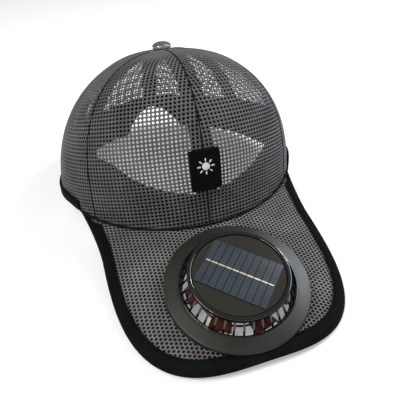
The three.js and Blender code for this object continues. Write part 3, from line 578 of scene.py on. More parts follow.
def rounded(profile, radius, steps=CORNER_STEPS):
    """A closed profile with each corner rounded, as points of radius and height."""
    corners = [np.array(p, float) for p in profile]
    out = []
    for k, corner in enumerate(corners):
        before = corners[k - 1] - corner
        after = corners[(k + 1) % len(corners)] - corner
        reach = min(radius, np.linalg.norm(before) / 2, np.linalg.norm(after) / 2)
        start = corner + before / np.linalg.norm(before) * reach
        end = corner + after / np.linalg.norm(after) * reach
        for t in np.linspace(0, 1, steps + 1):
            out.append((1 - t) ** 2 * start + 2 * t * (1 - t) * corner + t ** 2 * end)
    return np.array(out)


def plain_mesh(name, skins):
    """One mesh from several skins, with their UVs."""
    points, faces, uvs, count = [], [], [], 0
    for skin_points, skin_faces, skin_uvs in skins:
        points.append(skin_points)
        faces += [[k + count for k in face] for face in skin_faces]
        uvs.append(skin_uvs)
        count += len(skin_points)
    mesh = bpy.data.meshes.new(name)
    mesh.from_pydata(np.concatenate(points).tolist(), [], faces)
    mesh.uv_layers.new(name="UVMap").data.foreach_set("uv", np.concatenate(uvs).ravel())
    return mesh


def tidied(mesh, merge=SEAM_MERGE):
    """Closes seams and poles and turns the faces outwards."""
    work = bmesh.new()
    work.from_mesh(mesh)
    bmesh.ops.remove_doubles(work, verts=work.verts, dist=merge)
    bmesh.ops.dissolve_degenerate(work, dist=merge / 10, edges=work.edges)
    bmesh.ops.recalc_face_normals(work, faces=work.faces)
    work.to_mesh(mesh)
    work.free()
    return mesh


def solid(name, skins, merge=SEAM_MERGE):
    return tidied(plain_mesh(name, skins), merge)


def reshaped(mesh, shape):
    """Moves a mesh's points by a function of all of them."""
    place = np.empty(len(mesh.vertices) * 3)
    mesh.vertices.foreach_get("co", place)
    mesh.vertices.foreach_set("co", shape(place.reshape(-1, 3)).ravel())
    mesh.update()
    return mesh


def linked(name, data):
    """A new object in the scene."""
    thing = bpy.data.objects.new(name, data)
    bpy.context.scene.collection.objects.link(thing)
    return thing


def shown(mesh, place, material, body="hat", nodes=(), crease=35):
    """A finished piece: its place in its mesh, on its body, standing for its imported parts."""
    mesh.transform(place)
    mesh.shade_smooth()
    mesh.set_sharp_from_angle(angle=math.radians(crease))
    mesh.materials.clear()
    mesh.materials.append(material)
    piece = linked(mesh.name, mesh)
    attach(piece, body)
    if nodes:
        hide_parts(*nodes)


# Trees that repeat a shape

def add_node(tree, kind, values=None, **settings):
    """A node of a tree with its settings, and its inputs set or linked."""
    node = tree.nodes.new(kind)
    for key, value in settings.items():
        setattr(node, key, value)
    for key, value in (values or {}).items():
        if isinstance(value, bpy.types.NodeSocket):
            tree.links.new(value, node.inputs[key])
        else:
            node.inputs[key].default_value = value
    return node


class Tree:
    """A node tree with named sizes, ending in real, painted meshes."""

    def __init__(self, name, sizes):
        self.group = bpy.data.node_groups.new(name, "GeometryNodeTree")
        face = self.group.interface
        face.new_socket("Geometry", in_out="INPUT", socket_type="NodeSocketGeometry")
        self.sockets = {}
        for label, kind in sizes.items():
            socket = face.new_socket(label, in_out="INPUT", socket_type=f"NodeSocket{kind}")
            self.sockets[label] = socket.identifier
        face.new_socket("Geometry", in_out="OUTPUT", socket_type="NodeSocketGeometry")
        self.inputs = self.group.nodes.new("NodeGroupInput").outputs
        self.output = self.group.nodes.new("NodeGroupOutput").inputs[0]

    def add(self, kind, values=None, **settings):
        return add_node(self.group, kind, values, **settings)

    def finish(self, points, copy, values):
        """Copies of an object on points, made real and painted."""
        source = self.add("GeometryNodeObjectInfo", {"Object": copy})
        copies = self.add("GeometryNodeInstanceOnPoints", {
            "Points": points,
            "Instance": source.outputs["Geometry"],
            **values,
        })
        real = self.add("GeometryNodeRealizeInstances", {"Geometry": copies.outputs[0]})
        painted = self.add("GeometryNodeSetMaterial", {
            "Geometry": real.outputs[0],
            "Material": self.inputs["Material"],
        })
        self.group.links.new(painted.outputs[0], self.output)
        return self

    def made(self, name, base, **sizes):
        """The plain mesh that the tree makes from a base mesh."""
        holder = linked("holder", base)
        modifier = holder.modifiers.new("tree", "NODES")
        modifier.node_group = self.group
        for label, value in sizes.items():
            modifier[self.sockets[label]] = value
        mesh = evaluated_mesh(holder)
        mesh.name = name
        return mesh


def evaluated_mesh(holder):
    """A plain mesh of an object with its modifiers, which is then removed."""
    bpy.context.view_layer.update()
    mesh = bpy.data.meshes.new_from_object(holder.evaluated_get(bpy.context.evaluated_depsgraph_get()))
    bpy.data.objects.remove(holder)
    return mesh


def net_tree():
    tree = Tree("net_of_cells", {"Cell": "Object", "Size": "Vector", "Material": "Material"})
    return tree.finish(tree.inputs["Geometry"], tree.inputs["Cell"], {"Scale": tree.inputs["Size"]})


def stitch_tree():
    tree = Tree("row_of_stitches", {"Stitch": "Object", "Spacing": "Float", "Material": "Material"})
    path = tree.add("GeometryNodeMeshToCurve", {"Mesh": tree.inputs["Geometry"]})
    even = tree.add("GeometryNodeResampleCurve", {
        "Curve": path.outputs[0],
        "Length": tree.inputs["Spacing"],
    }, mode="LENGTH")
    tangent = tree.add("GeometryNodeInputTangent")
    facing = tree.add("FunctionNodeAlignRotationToVector", {"Vector": tangent.outputs[0]}, axis="X")
    return tree.finish(even.outputs[0], tree.inputs["Stitch"], {"Rotation": facing.outputs[0]})


def round_tree():
    tree = Tree("ring_of_copies", {"Copy": "Object", "Count": "Int", "Material": "Material"})
    ring = tree.add("GeometryNodeMeshCircle", {"Vertices": tree.inputs["Count"], "Radius": COPY_RADIUS})
    place = tree.add("GeometryNodeInputPosition")
    facing = tree.add("FunctionNodeAlignRotationToVector", {"Vector": place.outputs[0]}, axis="X")
    return tree.finish(ring.outputs[0], tree.inputs["Copy"], {"Rotation": facing.outputs[0]})


NET_TREE = net_tree()
STITCH_TREE = stitch_tree()
ROUND_TREE = round_tree()

SQUARE = [(0.5, 0), (0.5, 0.5), (0, 0.5), (-0.5, 0.5), (-0.5, 0), (-0.5, -0.5), (0, -0.5), (0.5, -0.5)]
HEXAGON = [(2 / 3, 0), (1 / 3, 0.5), (-1 / 3, 0.5), (-2 / 3, 0), (-1 / 3, -0.5), (1 / 3, -0.5)]
UNIT_SQUARE = rectangle(-0.5, 0.5, -0.5, 0.5)


def net_cell(border, hole):
    """A cell of net one unit wide, thick along its border and thin at its hole."""
    sides = len(border)
    points = [(x, y, 0.5) for x, y in border] + [(x, y, -0.5) for x, y in border]
    for x, y in border:
        inwards = hole / math.hypot(x, y) if border is SQUARE else hole
        points.append((x * inwards, y * inwards, 0))
    faces = []
    for k in range(sides):
        after = (k + 1) % sides
        faces.append((k, after, 2 * sides + after, 2 * sides + k))
        faces.append((sides + after, sides + k, 2 * sides + k, 2 * sides + after))
    mesh = bpy.data.meshes.new("net_cell")
    mesh.from_pydata(points, [], faces)
    return mesh


def stitch_mesh():
    """One stitch along X, thin and rounded, sunk at both ends, in metres."""
    length = STITCH_LENGTH * MM
    half = STITCH_THICKNESS * MM / 2
    sections = np.array([
        [(x * length, r * half * math.cos(a), (r * math.sin(a) + lift) * half) for a in around(STITCH_SIDES)]
        for x, r, lift in STITCH_RINGS
    ])
    return plain_mesh("stitch", [loft(sections)])


# Objects that the trees copy; they are never shown
CELL = bpy.data.objects.new("cell_pattern", net_cell(SQUARE, NET_HOLE))
PEAK_CELL = bpy.data.objects.new("peak_cell_pattern", net_cell(HEXAGON, PEAK_NET_HOLE))
STITCH = bpy.data.objects.new("stitch_pattern", stitch_mesh())


def stitches(name, lines, spacing=STITCH_SPACING):
    """Rows of stitches along lines of points in the cap's frame."""
    points, edges = [], []
    for line in lines:
        start = len(points)
        points += [tuple(p) for p in line]
        edges += [(start + k, start + k + 1) for k in range(len(line) - 1)]
    path = bpy.data.meshes.new("stitch_lines")
    path.from_pydata(points, edges, [])
    path.transform(cap_frame)
    mesh = STITCH_TREE.made(name, path, Stitch=STITCH, Spacing=spacing * MM, Material=THREAD)
    shown(mesh, Matrix.Identity(4), THREAD, crease=60)


def flat_net(name, places, size, material, shape=None, cell=CELL):
    """A net of cells round the given places, moved by a shape, joined and closed along its edge."""
    base = bpy.data.meshes.new("net_places")
    base.from_pydata([(x, y, 0) for x, y in places], [], [])
    mesh = NET_TREE.made(name, base, Cell=cell, Size=size, Material=material)
    if shape is not None:
        reshaped(mesh, shape)
    net = bmesh.new()
    net.from_mesh(mesh)
    bmesh.ops.remove_doubles(net, verts=net.verts, dist=NET_MERGE)
    bmesh.ops.dissolve_degenerate(net, dist=NET_MERGE, edges=net.edges)
    for edge in net.edges:
        if edge.is_boundary:
            for vertex in edge.verts:
                vertex.co.z = 0
    bmesh.ops.remove_doubles(net, verts=net.verts, dist=NET_MERGE)
    net.to_mesh(mesh)
    net.free()
    return mesh


def ring_of(name, copied, count, material):
    """Even copies round Z of a mesh that stands COPY_RADIUS in from its place."""
    copy = bpy.data.objects.new(f"{name}_pattern", copied)
    return ROUND_TREE.made(name, bpy.data.meshes.new("empty"), Copy=copy, Count=count, Material=material)


# Finishes

class Finish:
    """A material whose colour, roughness and relief come from small node chains."""

    def __init__(self, name, color, roughness, **sockets):
        self.material = bpy.data.materials.new(name)
        self.material.use_nodes = True
        self.tree = self.material.node_tree
        self.shader = self.tree.nodes["Principled BSDF"]
        self.shader.inputs["Base Color"].default_value = (*color, 1)
        self.shader.inputs["Roughness"].default_value = roughness
        for key, value in sockets.items():
            self.shader.inputs[key.replace("_", " ")].default_value = value
        self.height = None

    def add(self, kind, values=None, **settings):
        return add_node(self.tree, kind, values, **settings)

    def drive(self, value, socket):
        self.tree.links.new(value, self.shader.inputs[socket])
        return self

    def math(self, operation, a, b=0.0):
        return self.add("ShaderNodeMath", {0: a, 1: b}, operation=operation).outputs[0]

    def noise(self, scale, detail=3.0):
        place = self.add("ShaderNodeTexCoord").outputs["Object"]
        spots = self.add("ShaderNodeTexNoise", {"Vector": place, "Scale": scale, "Detail": detail})
        return spots.outputs["Fac"]

    def drift(self, scale, low=0.0, high=1.0, detail=3.0):
        """Soft noise, stretched between two values."""
        return self.add("ShaderNodeMapRange", {
            "Value": self.noise(scale, detail),
            "From Min": 0.3,
            "From Max": 0.7,
            "To Min": low,
            "To Max": high,
        }).outputs[0]

    def mixed(self, factor, low, high):
        """A blend of two colours, each a value or another blend."""
        node = self.add("ShaderNodeMix", {"Factor": factor}, data_type="RGBA")
        for key, color in (("A", low), ("B", high)):
            if isinstance(color, bpy.types.NodeSocket):
                self.tree.links.new(color, node.inputs[key])
            else:
                node.inputs[key].default_value = (*color, 1)
        return node.outputs["Result"]

    def vary(self, low, high, scale):
        """Base colour that drifts between two colours."""
        return self.drive(self.mixed(self.drift(scale), low, high), "Base Color")

    def worn(self, low, high, scale):
        """Roughness that drifts between two values."""
        return self.drive(self.drift(scale, low, high), "Roughness")

    def relief(self, height, strength, distance):
        bump = self.add("ShaderNodeBump", {"Height": height, "Strength": strength, "Distance": distance})
        if self.height is not None:
            self.tree.links.new(self.height, bump.inputs["Normal"])
        self.height = bump.outputs[0]
        return self.drive(self.height, "Normal")

    def grain(self, scale, strength, distance):
        return self.relief(self.noise(scale, 2.0), strength, distance)

    def weave(self, pitch, strength, distance):
        """Over-and-under threads along the piece's own UVs, in millimetres."""
        split = self.add("ShaderNodeSeparateXYZ", {
            0: self.add("ShaderNodeUVMap", uv_map="UVMap").outputs[0],
        })
        waves = []
        for axis in (0, 1):
            phase = self.math("MULTIPLY", split.outputs[axis], math.pi / pitch)
            waves.append(self.math("SINE", phase))
        crossing = self.math("MULTIPLY", waves[0], waves[1])
        return self.relief(self.math("ABSOLUTE", crossing), strength, distance)


def net_finish(name, low, high):
    finish = Finish(name, low, 0.55, Specular_IOR_Level=0.3)
    return finish.vary(low, high, 60).grain(2500, 0.5, 0.0002).material


NET = net_finish("grey_net", (0.081, 0.081, 0.082), (0.131, 0.131, 0.133))
PEAK_NET = net_finish("peak_net", (0.16, 0.155, 0.15), (0.25, 0.243, 0.235))
TAPE = Finish("seam_tape", (0.008, 0.008, 0.009), 0.85, Specular_IOR_Level=0.1)
TAPE = TAPE.vary((0.005, 0.005, 0.006), (0.012, 0.012, 0.013), 90).weave(0.7, 0.6, 0.0002).material
BAND = Finish("sweatband_cloth", (0.008, 0.008, 0.009), 0.85, Specular_IOR_Level=0.1)
BAND = BAND.vary((0.006, 0.006, 0.007), (0.014, 0.014, 0.016), 70).weave(0.8, 0.7, 0.00025).material
BINDING = Finish("folded_binding", (0.004, 0.0045, 0.004), 0.85, Specular_IOR_Level=0.06)
BINDING = BINDING.vary((0.003, 0.0035, 0.003), (0.006, 0.007, 0.0065), 50).weave(0.65, 0.6, 0.0002)
BINDING = BINDING.grain(220, 0.25, 0.0006).material
UNDERLAY = Finish("peak_lining", (0.02, 0.018, 0.016), 0.9, Specular_IOR_Level=0.1)
UNDERLAY = UNDERLAY.vary((0.013, 0.011, 0.01), (0.03, 0.027, 0.024), 60).weave(0.8, 0.6, 0.0002).material
THREAD = Finish("stitch_thread", (0.0015, 0.0015, 0.0015), 0.8, Specular_IOR_Level=0.05)
THREAD = THREAD.grain(3000, 0.4, 0.0001).material
RUBBER = Finish("label_rubber", (0.002, 0.002, 0.002), 0.6, Specular_IOR_Level=0.07)
RUBBER = RUBBER.worn(0.5, 0.68, 80).grain(1500, 0.12, 0.0001).material
PALE_RUBBER = Finish("pale_rubber", (0.72, 0.72, 0.7), 0.5)
PALE_RUBBER = PALE_RUBBER.worn(0.42, 0.6, 80).grain(1500, 0.12, 0.0001).material
BUTTON = Finish("button_metal", (0.5, 0.5, 0.47), 0.32, Metallic=0.75).worn(0.25, 0.4, 300).material
MATT = Finish("matt_plastic", (0.015, 0.015, 0.012), 0.38, Specular_IOR_Level=0.46)
MATT = MATT.vary((0.013, 0.013, 0.010), (0.018, 0.018, 0.014), 30).worn(0.32, 0.44, 60)
MATT = MATT.grain(1800, 0.18, 0.0001).material
GLOSS = Finish("gloss_plastic", (0.004, 0.004, 0.004), 0.12, Coat_Weight=0.4).worn(0.08, 0.18, 40).material
DISC = Finish("disc_resin", (0.016, 0.014, 0.008), 0.1, Coat_Weight=0.4).worn(0.06, 0.14, 30).material
SILVER = Finish("busbar_silver", (0.62, 0.58, 0.46), 0.35, Metallic=0.5).grain(4000, 0.2, 0.00005).material
CAN = Finish("motor_metal", (0.5, 0.5, 0.5), 0.3, Metallic=1.0).worn(0.22, 0.4, 150).material
BLADES = Finish("blade_plastic", (0.11, 0.028, 0.022), 0.2, Coat_Weight=0.8).worn(0.14, 0.28, 60).material


def cell_finish():
    """Slate blue silicon with fine pale fingers along each cell."""
    finish = Finish("solar_cell", (0.03, 0.038, 0.052), 0.25, Coat_Weight=0.3)
    in_fan = finish.add("ShaderNodeMapping", {
        "Vector": finish.add("ShaderNodeTexCoord").outputs["Object"],
        "Location": Vector(spin["pos_m"]),
        "Rotation": (fan_tilt, 0, 0),
    }, vector_type="TEXTURE")
    in_row = finish.add("ShaderNodeMapping", {
        "Vector": in_fan.outputs[0],
        "Rotation": (0, 0, CELLS_TURN),
        "Scale": (MM, MM, MM),
    }, vector_type="TEXTURE")
    split = finish.add("ShaderNodeSeparateXYZ", {0: in_row.outputs[0]})
    across = finish.math("MULTIPLY", split.outputs[0], FINGERS_IN_CELL / CELL_PITCH)
    finger = finish.math("LESS_THAN", finish.math("PINGPONG", across, 0.5), FINGER_WIDTH)
    silicon = finish.mixed(finish.drift(90, detail=2.0), (0.018, 0.025, 0.035), (0.028, 0.037, 0.05))
    fingers = finish.mixed(finish.math("MULTIPLY", finger, FINGER_STRENGTH), silicon, (0.1, 0.115, 0.135))
    return finish.drive(fingers, "Base Color").material


SILICON = cell_finish()


# Crown panels

def crown_panel(name, first, last, node):
    """A panel's net: rows of cells on the flat gore below the apex, then bent onto the crown."""
    middle = (first + last) / 2
    half = NET_PITCH / 2
    longest = float(crown.length(np.linspace(first, last, GORE_TURNS)).max())
    ends = np.linspace(0, longest + 2 * NET_PITCH, GORE_STEPS)
    radii = crown.apex_radius(middle, np.maximum(float(crown.length(middle)) - ends, 0))

    def radius_at(from_apex):
        return np.maximum(np.interp(from_apex, ends, radii), NARROWEST_GORE)

    def half_width(from_apex):
        return (last - first) / 2 * radius_at(from_apex) - GAP / 2

    def inside_gore(place):
        from_apex = np.maximum(place[:, 1], APEX_HOLE_RADIUS)
        edge = half_width(from_apex)
        x = np.clip(place[:, 0], -edge, edge)
        turn = middle + x / radius_at(from_apex)
        from_apex = np.minimum(from_apex, crown.length(turn) - 2 * GAP)
        return np.stack([x, from_apex, place[:, 2]], 1)

    def onto_crown(place):
        turn = middle + place[:, 0] / radius_at(place[:, 1])
        offset = place[:, 2] - PANEL_THICKNESS / 2
        return crown.layer(turn, crown.length(turn) - place[:, 1], offset)

    places = []
    for row in range(int(longest / NET_PITCH) + 2):
        from_apex = APEX_HOLE_RADIUS + (row + FIRST_ROW_SHARE) * NET_PITCH
        widest = half_width(np.array([from_apex - half, from_apex + half])).max()
        columns = int(widest / NET_PITCH + 1.5)
        for column in range(-columns, columns + 1):
            x = column * NET_PITCH
            turn = min(max(middle + x / float(radius_at(from_apex)), first), last)
            if abs(x) - half < widest and from_apex - half < float(crown.length(turn)) - GAP:
                places.append((x, from_apex))
    mesh = flat_net(name, places, (NET_PITCH, NET_PITCH, NET_THREAD), NET, inside_gore)
    shown(reshaped(mesh, onto_crown), cap_frame, NET, nodes=[node], crease=180)


def crown_panels():
    spans = {
        "front": (0, FRONT_SIDE_SEAM),
        "side": (FRONT_SIDE_SEAM, REAR_SIDE_SEAM),
        "rear": (REAR_SIDE_SEAM, math.pi),
    }
    for place, (first, last) in spans.items():
        crown_panel(f"{place}_net_right", first, last, f"panel_{place}_right")
        crown_panel(f"{place}_net_left", -last, -first, f"panel_{place}_left")


# Seam tapes, sweatband and cord

def seat(offset):
    """How far up from the rim a layer inside the crown starts, to clear the peak."""
    return GAP + peak_gradient * abs(offset)


def seam_line(seam, aside, offset):
    """Points along a seam, moved sideways, from the rim up to the tape's end."""
    end = float(crown.length(seam)) - TAPE_END_BELOW_APEX
    length = np.linspace(seat(min(offset, 0)), end, SEAM_STEPS)
    turn = np.full(SEAM_STEPS, seam)
    return crown.layer(turn + aside / crown.apex_radius(turn, length), length, offset)


def seam_tapes():
    """A tape behind each seam, with the narrow fold of the panels' edges over it."""
    seams = {
        "tape_front": 0,
        "tape_front_side_right": FRONT_SIDE_SEAM,
        "tape_front_side_left": -FRONT_SIDE_SEAM,
        "tape_rear_side_right": REAR_SIDE_SEAM,
        "tape_rear_side_left": -REAR_SIDE_SEAM,
        "tape_rear": math.pi,
    }
    asides = np.linspace(-0.5, 0.5, TAPE_COLUMNS) * SEAM_TAPE_WIDTH
    folds = np.linspace(-0.5, 0.5, len(FOLD_CRESTS)) * FOLD_WIDTH
    lines = []
    for node, seam in seams.items():
        outer = np.array([seam_line(seam, aside, TAPE_OUTER) for aside in asides])
        inner = np.array([seam_line(seam, aside, TAPE_INNER) for aside in asides])
        fold_top = np.array([seam_line(seam, aside, crest) for aside, crest in zip(folds, FOLD_CRESTS)])
        fold_base = np.array([seam_line(seam, aside, TAPE_OUTER + FOLD_SUNK) for aside in folds])
        mesh = solid(f"{node}_cloth", [wall(outer, inner), wall(fold_top, fold_base)])
        shown(mesh, cap_frame, TAPE, nodes=[node])
        for side in (-1, 1):
            lines.append(seam_line(seam, side * (SEAM_TAPE_WIDTH / 2 - TAPE_STITCH_INSET), TAPE_INNER))
    stitches("tape_stitches", lines)


def sweatband():
    turns = np.linspace(-math.pi, math.pi, BAND_TURNS + 1)[:-1]
    edge_height = SWEATBAND_TOP * np.interp(np.degrees(np.abs(turns)), SWEATBAND_TURNS, SWEATBAND_SHARES)
    top = crown.length_to_height(turns, edge_height)
    shares = np.linspace(0, 1, BAND_ROWS)
    low = seat(BAND_OUTER)
    lengths = low + (top[:, None] - low) * shares
    puff = SWEATBAND_PUFF * np.sin(math.pi * shares)
    outer = crown.layer(turns[:, None], lengths, BAND_OUTER)
    inner = crown.layer(turns[:, None], lengths, BAND_INNER - puff)
    edge = crown.layer(turns[:, None], lengths[:, -1:] + SWEATBAND_EDGE, (BAND_OUTER + BAND_INNER) / 2)
    skin = loft(np.concatenate([outer, edge, inner[:, ::-1]], 1), closed=True)
    shown(solid("sweatband_cloth", [skin]), cap_frame, BAND, nodes=["sweatband"])
    line = crown.layer(turns, top - SWEATBAND_STITCH_INSET, BAND_INNER - STITCH_LIFT)
    stitches("sweatband_stitches", [np.concatenate([line, line[:1]])])


def front_seam():
    """The corded seam where the front of the crown meets the peak."""
    turns = np.linspace(-PEAK_ROOT, PEAK_ROOT, CORD_STEPS)
    centre = crown.layer(turns, SEAM_CORD_LIFT, SEAM_CORD_RADIUS / 2)
    out = crown.layer(turns, SEAM_CORD_LIFT, 1.0) - crown.layer(turns, SEAM_CORD_LIFT, 0.0)
    up = np.array([0, 0, 1.0])
    sections = np.array([
        [middle + SEAM_CORD_RADIUS * (math.cos(a) * aside + math.sin(a) * up) for a in around(CORD_SIDES)]
        for middle, aside in zip(centre, out)
    ])
    shown(solid("front_seam_cord", [loft(sections)]), cap_frame, TAPE, crease=60)


# Bindings

def folded(reach_outer, reach_inner, high, low):
    """Section of a folded strip, as reach and height: its outer line, then its inner one."""
    middle = (high + low) / 2
    half = (high - low) / 2
    inner_half = half - BINDING_THICKNESS
    bend = BINDING_BEND * half
    arc = np.linspace(math.pi / 2, 3 * math.pi / 2, FOLD_STEPS)
    swell_at = [BINDING_SWELL_SHARE * reach + (1 - BINDING_SWELL_SHARE) * bend
                for reach in (reach_outer, reach_inner)]
    outer = [(reach_outer, high), (swell_at[0], high + BINDING_SWELL)]
    outer += [(bend + bend * math.cos(a), middle + half * math.sin(a)) for a in arc]
    outer += [(swell_at[1], low - BINDING_SWELL), (reach_inner, low)]
    inner_bend = bend - BINDING_THICKNESS
    inner = [(reach_inner, low + BINDING_THICKNESS), ((reach_inner + bend) / 2, low + BINDING_THICKNESS)]
    inner += [(bend + inner_bend * math.cos(a), middle + inner_half * math.sin(a)) for a in arc[::-1]]
    inner += [((reach_outer + bend) / 2, high - BINDING_THICKNESS), (reach_outer, high - BINDING_THICKNESS)]
    return np.array(outer + inner)


def outside_crown(point):
    reach_x = CROWN_HALF_WIDTH * (1 + SIDE_FLARE) + BINDING_TOP
    reach_y = CROWN_FRONT + BINDING_TOP
    return (point[0] / reach_x) ** 2 + (point[1] / reach_y) ** 2 >= 1


def over_peak(share, inset, lift):
    """A point over the peak's top, in from its outline."""
    x, y = outline_at(share, inset)
    return x, y, peak_top(x, y) + lift


def peak_binding():
    bottom = -(PEAK_THICKNESS + BINDING_TOP)
    start = -BINDING_OVERLAP / outline_length
    sections, upper, lower = [], [], []
    for share in np.linspace(start, 1 - start, PEAK_BINDING_STEPS):
        reach = PEAK_BINDING_WIDTH
        while reach > 3 * BINDING_THICKNESS and not outside_crown(outline_at(share, reach)):
            reach -= REACH_STEP
        section = folded(reach, PEAK_BINDING_WIDTH, BINDING_TOP, bottom)
        plan = outline_at(np.full(len(section), share), section[:, 0])
        height = peak_top(plan[:, 0], plan[:, 1]) + section[:, 1]
        sections.append(np.concatenate([plan, height[:, None]], 1))
        inset = max(reach - BINDING_STITCH_INSET, BINDING_STITCH_INSET)
        upper.append(over_peak(share, inset, BINDING_TOP + STITCH_LIFT))
        lower.append(over_peak(share, PEAK_BINDING_WIDTH - BINDING_STITCH_INSET, bottom - STITCH_LIFT))
    mesh = solid("peak_binding_cloth", [loft(np.array(sections))])
    shown(mesh, cap_frame, BINDING, nodes=["peak_binding"], crease=50)
    stitches("peak_binding_stitches", [upper, lower], BINDING_STITCH_SPACING)


def rim_binding():
    start = PEAK_ROOT + 2 * GAP / CROWN_HALF_WIDTH
    arch = (math.pi - REAR_ARCH_HALF, math.pi + REAR_ARCH_HALF)
    turns = np.concatenate([
        np.linspace(start, arch[0], RIM_STEPS)[:-1],
        np.linspace(arch[0], arch[1], ARCH_STEPS),
        np.linspace(arch[1], 2 * math.pi - start, RIM_STEPS)[1:],
    ])
    low = BAND_INNER - BINDING_TOP
    section = folded(RIM_BINDING_HEIGHT, RIM_BINDING_HEIGHT, BINDING_TOP, low)
    lengths = section[:, 0] - BINDING_TOP
    lengths[section[:, 0] >= RIM_BINDING_HEIGHT] = RIM_BINDING_HEIGHT
    sections = crown.layer(turns[:, None], lengths[None, :], section[None, :, 1])
    mesh = solid("rim_binding_cloth", [loft(sections)])
    shown(mesh, cap_frame, BINDING, nodes=["rim_binding"], crease=50)
    line = crown.layer(turns, RIM_BINDING_HEIGHT - BINDING_STITCH_INSET, BINDING_TOP + STITCH_LIFT)
    stitches("rim_binding_stitches", [line], BINDING_STITCH_SPACING)


# Button and label

def button():
    base = CROWN_HEIGHT + GAP
    springing = base + BUTTON_EDGE
    dome = BUTTON_HEIGHT - BUTTON_EDGE - NET_THREAD / 2
    radius = BUTTON_RADIUS - NET_THREAD / 2
    profile = [(0, base)] + [(radius - inset, base + rise) for inset, rise in BUTTON_FOOT]
    for a in np.linspace(0, math.pi / 2, DOME_STEPS):
        profile.append((radius * math.cos(a), springing + dome * math.sin(a)))
    place = cap_frame @ Matrix.Translation((0, -APEX_FORWARD, 0))
    mesh = solid("button_dome", [turned(profile, BUTTON_SIDES)])
    shown(mesh, place, BUTTON, nodes=["crown_button"])

    def over_dome(place):
        away = np.hypot(place[:, 0], place[:, 1])
        angle = np.minimum(away / BUTTON_NET_ARC, 1) * math.pi / 2
        share = np.where(away > 0, np.sin(angle) / np.maximum(away, 1e-9), 0)
        swell = NET_THREAD / 3 + place[:, 2]
        return np.stack([
            place[:, 0] * share * (radius + swell),
            place[:, 1] * share * (radius + swell),
            springing + (dome + swell) * np.cos(angle),
        ], 1)

    steps = np.arange(-BUTTON_NET_REACH, BUTTON_NET_REACH + 1) * BUTTON_NET_PITCH
    reach = BUTTON_NET_ARC - BUTTON_NET_PITCH / 2
    places = [(x, y) for x in steps for y in steps if math.hypot(x, y) < reach]
    size = (BUTTON_NET_PITCH, BUTTON_NET_PITCH, BUTTON_NET_THREAD)
    net = reshaped(flat_net("button_net", places, size, NET), over_dome)
    shown(net, place, NET, crease=180)


def label_relief(x, y):
    """Height of the label's face over its back: a plate with a raised border."""
    qx = np.abs(x) - (LABEL_WIDTH / 2 - LABEL_CORNER)
    qy = np.abs(y) - (LABEL_HEIGHT / 2 - LABEL_CORNER)
    past_corner = np.hypot(np.maximum(qx, 0), np.maximum(qy, 0))
    inside = LABEL_CORNER - past_corner - np.minimum(np.maximum(qx, qy), 0)
    plate = LABEL_PLATE * smooth(0, LABEL_BORDER_OUTSIDE[1], inside)
    border = smooth(*LABEL_BORDER_OUTSIDE, inside) * (1 - smooth(*LABEL_BORDER_INSIDE, inside))
    return plate + (LABEL_THICKNESS - LABEL_PLATE) * border


def on_front(x, y, offset):
    """Points of the crown's front round the label's middle."""
    middle = crown.length_to_height(0.0, LABEL_CENTRE_HEIGHT)[0]
    turn = x / CROWN_FRONT
    return crown.layer(turn, middle + y + rim_height(0.0) - rim_height(turn), offset)


def label_sun():
    """A small plain sun, raised on the label."""
    angles = around(SUN_SIDES)
    shapes = [SUN_RADIUS * np.stack([np.cos(angles), np.sin(angles)], 1)]
    ray = rounded(UNIT_SQUARE, SUN_RAY_ROUND, SMALL_CORNER_STEPS)
    along = SUN_RAY_START + SUN_RAY_LENGTH * (ray[:, 0] + 0.5)
    aside = SUN_RAY_WIDTH * ray[:, 1]
    for a in around(SUN_RAYS):
        shapes.append(np.stack([
            along * math.cos(a) - aside * math.sin(a),
            along * math.sin(a) + aside * math.cos(a),
        ], 1))
    heights = (LABEL_PLATE - SUN_SUNK, LABEL_PLATE + SUN_RISE, LABEL_THICKNESS)
    skins = []
    for shape in shapes:
        layers = [on_front(shape[:, 0], shape[:, 1] + SUN_UP, GAP + height) for height in heights]
        x, y = (shape * SUN_FACE_SHARE).T
        layers.append(on_front(x, y + SUN_UP, GAP + LABEL_THICKNESS + SUN_FACE_SWELL))
        skins.append(loft(np.array(layers)))
    shown(solid("label_sun", skins, FINE_MERGE), cap_frame, PALE_RUBBER, crease=50)


def label():
    across, up = [np.linspace(-0.5, 0.5, steps) for steps in LABEL_STEPS]
    x, y = np.meshgrid(across * LABEL_WIDTH, up * LABEL_HEIGHT, indexing="ij")
    height = label_relief(x, y)
    face = on_front(x, y, GAP + height)
    back = on_front(x, y, GAP + 0 * height)
    index = np.arange(x.size).reshape(x.shape)
    raised = height > LABEL_RAISED
    used = raised[:-1, :-1] | raised[1:, :-1] | raised[1:, 1:] | raised[:-1, 1:]
    quads = np.stack([index[:-1, :-1], index[1:, :-1], index[1:, 1:], index[:-1, 1:]], -1)[used]
    points = np.concatenate([face.reshape(-1, 3), back.reshape(-1, 3)])
    faces = quads.tolist() + (quads[:, ::-1] + x.size).tolist()
    mesh = bpy.data.meshes.new("label_rubber")
    mesh.from_pydata(points.tolist(), [], faces)
    mesh = tidied(mesh, FINE_MERGE)
    work = bmesh.new()
    work.from_mesh(mesh)
    bmesh.ops.delete(work, geom=[v for v in work.verts if not v.link_faces], context="VERTS")
    work.to_mesh(mesh)
    work.free()
    shown(mesh, cap_frame, RUBBER, nodes=["label_patch"], crease=60)
    label_sun()


# Peak

def peak_point(share, out, drop):
    """A point of the peak's plate from its root to its edge."""
    start = PEAK_BINDING_START / outline_length
    turn = -PEAK_ROOT + 2 * PEAK_ROOT * share
    inner = crown.layer(turn, 0, -PEAK_TUCK)[..., :2]
    outer = outline_at(start + (1 - 2 * start) * share, np.full(np.shape(share), BINDING_TOP))
    plan = inner + (outer - inner) * np.asarray(out)[..., None]
    height = peak_top(plan[..., 0], plan[..., 1]) - drop
    return np.concatenate([plan, height[..., None]], -1)


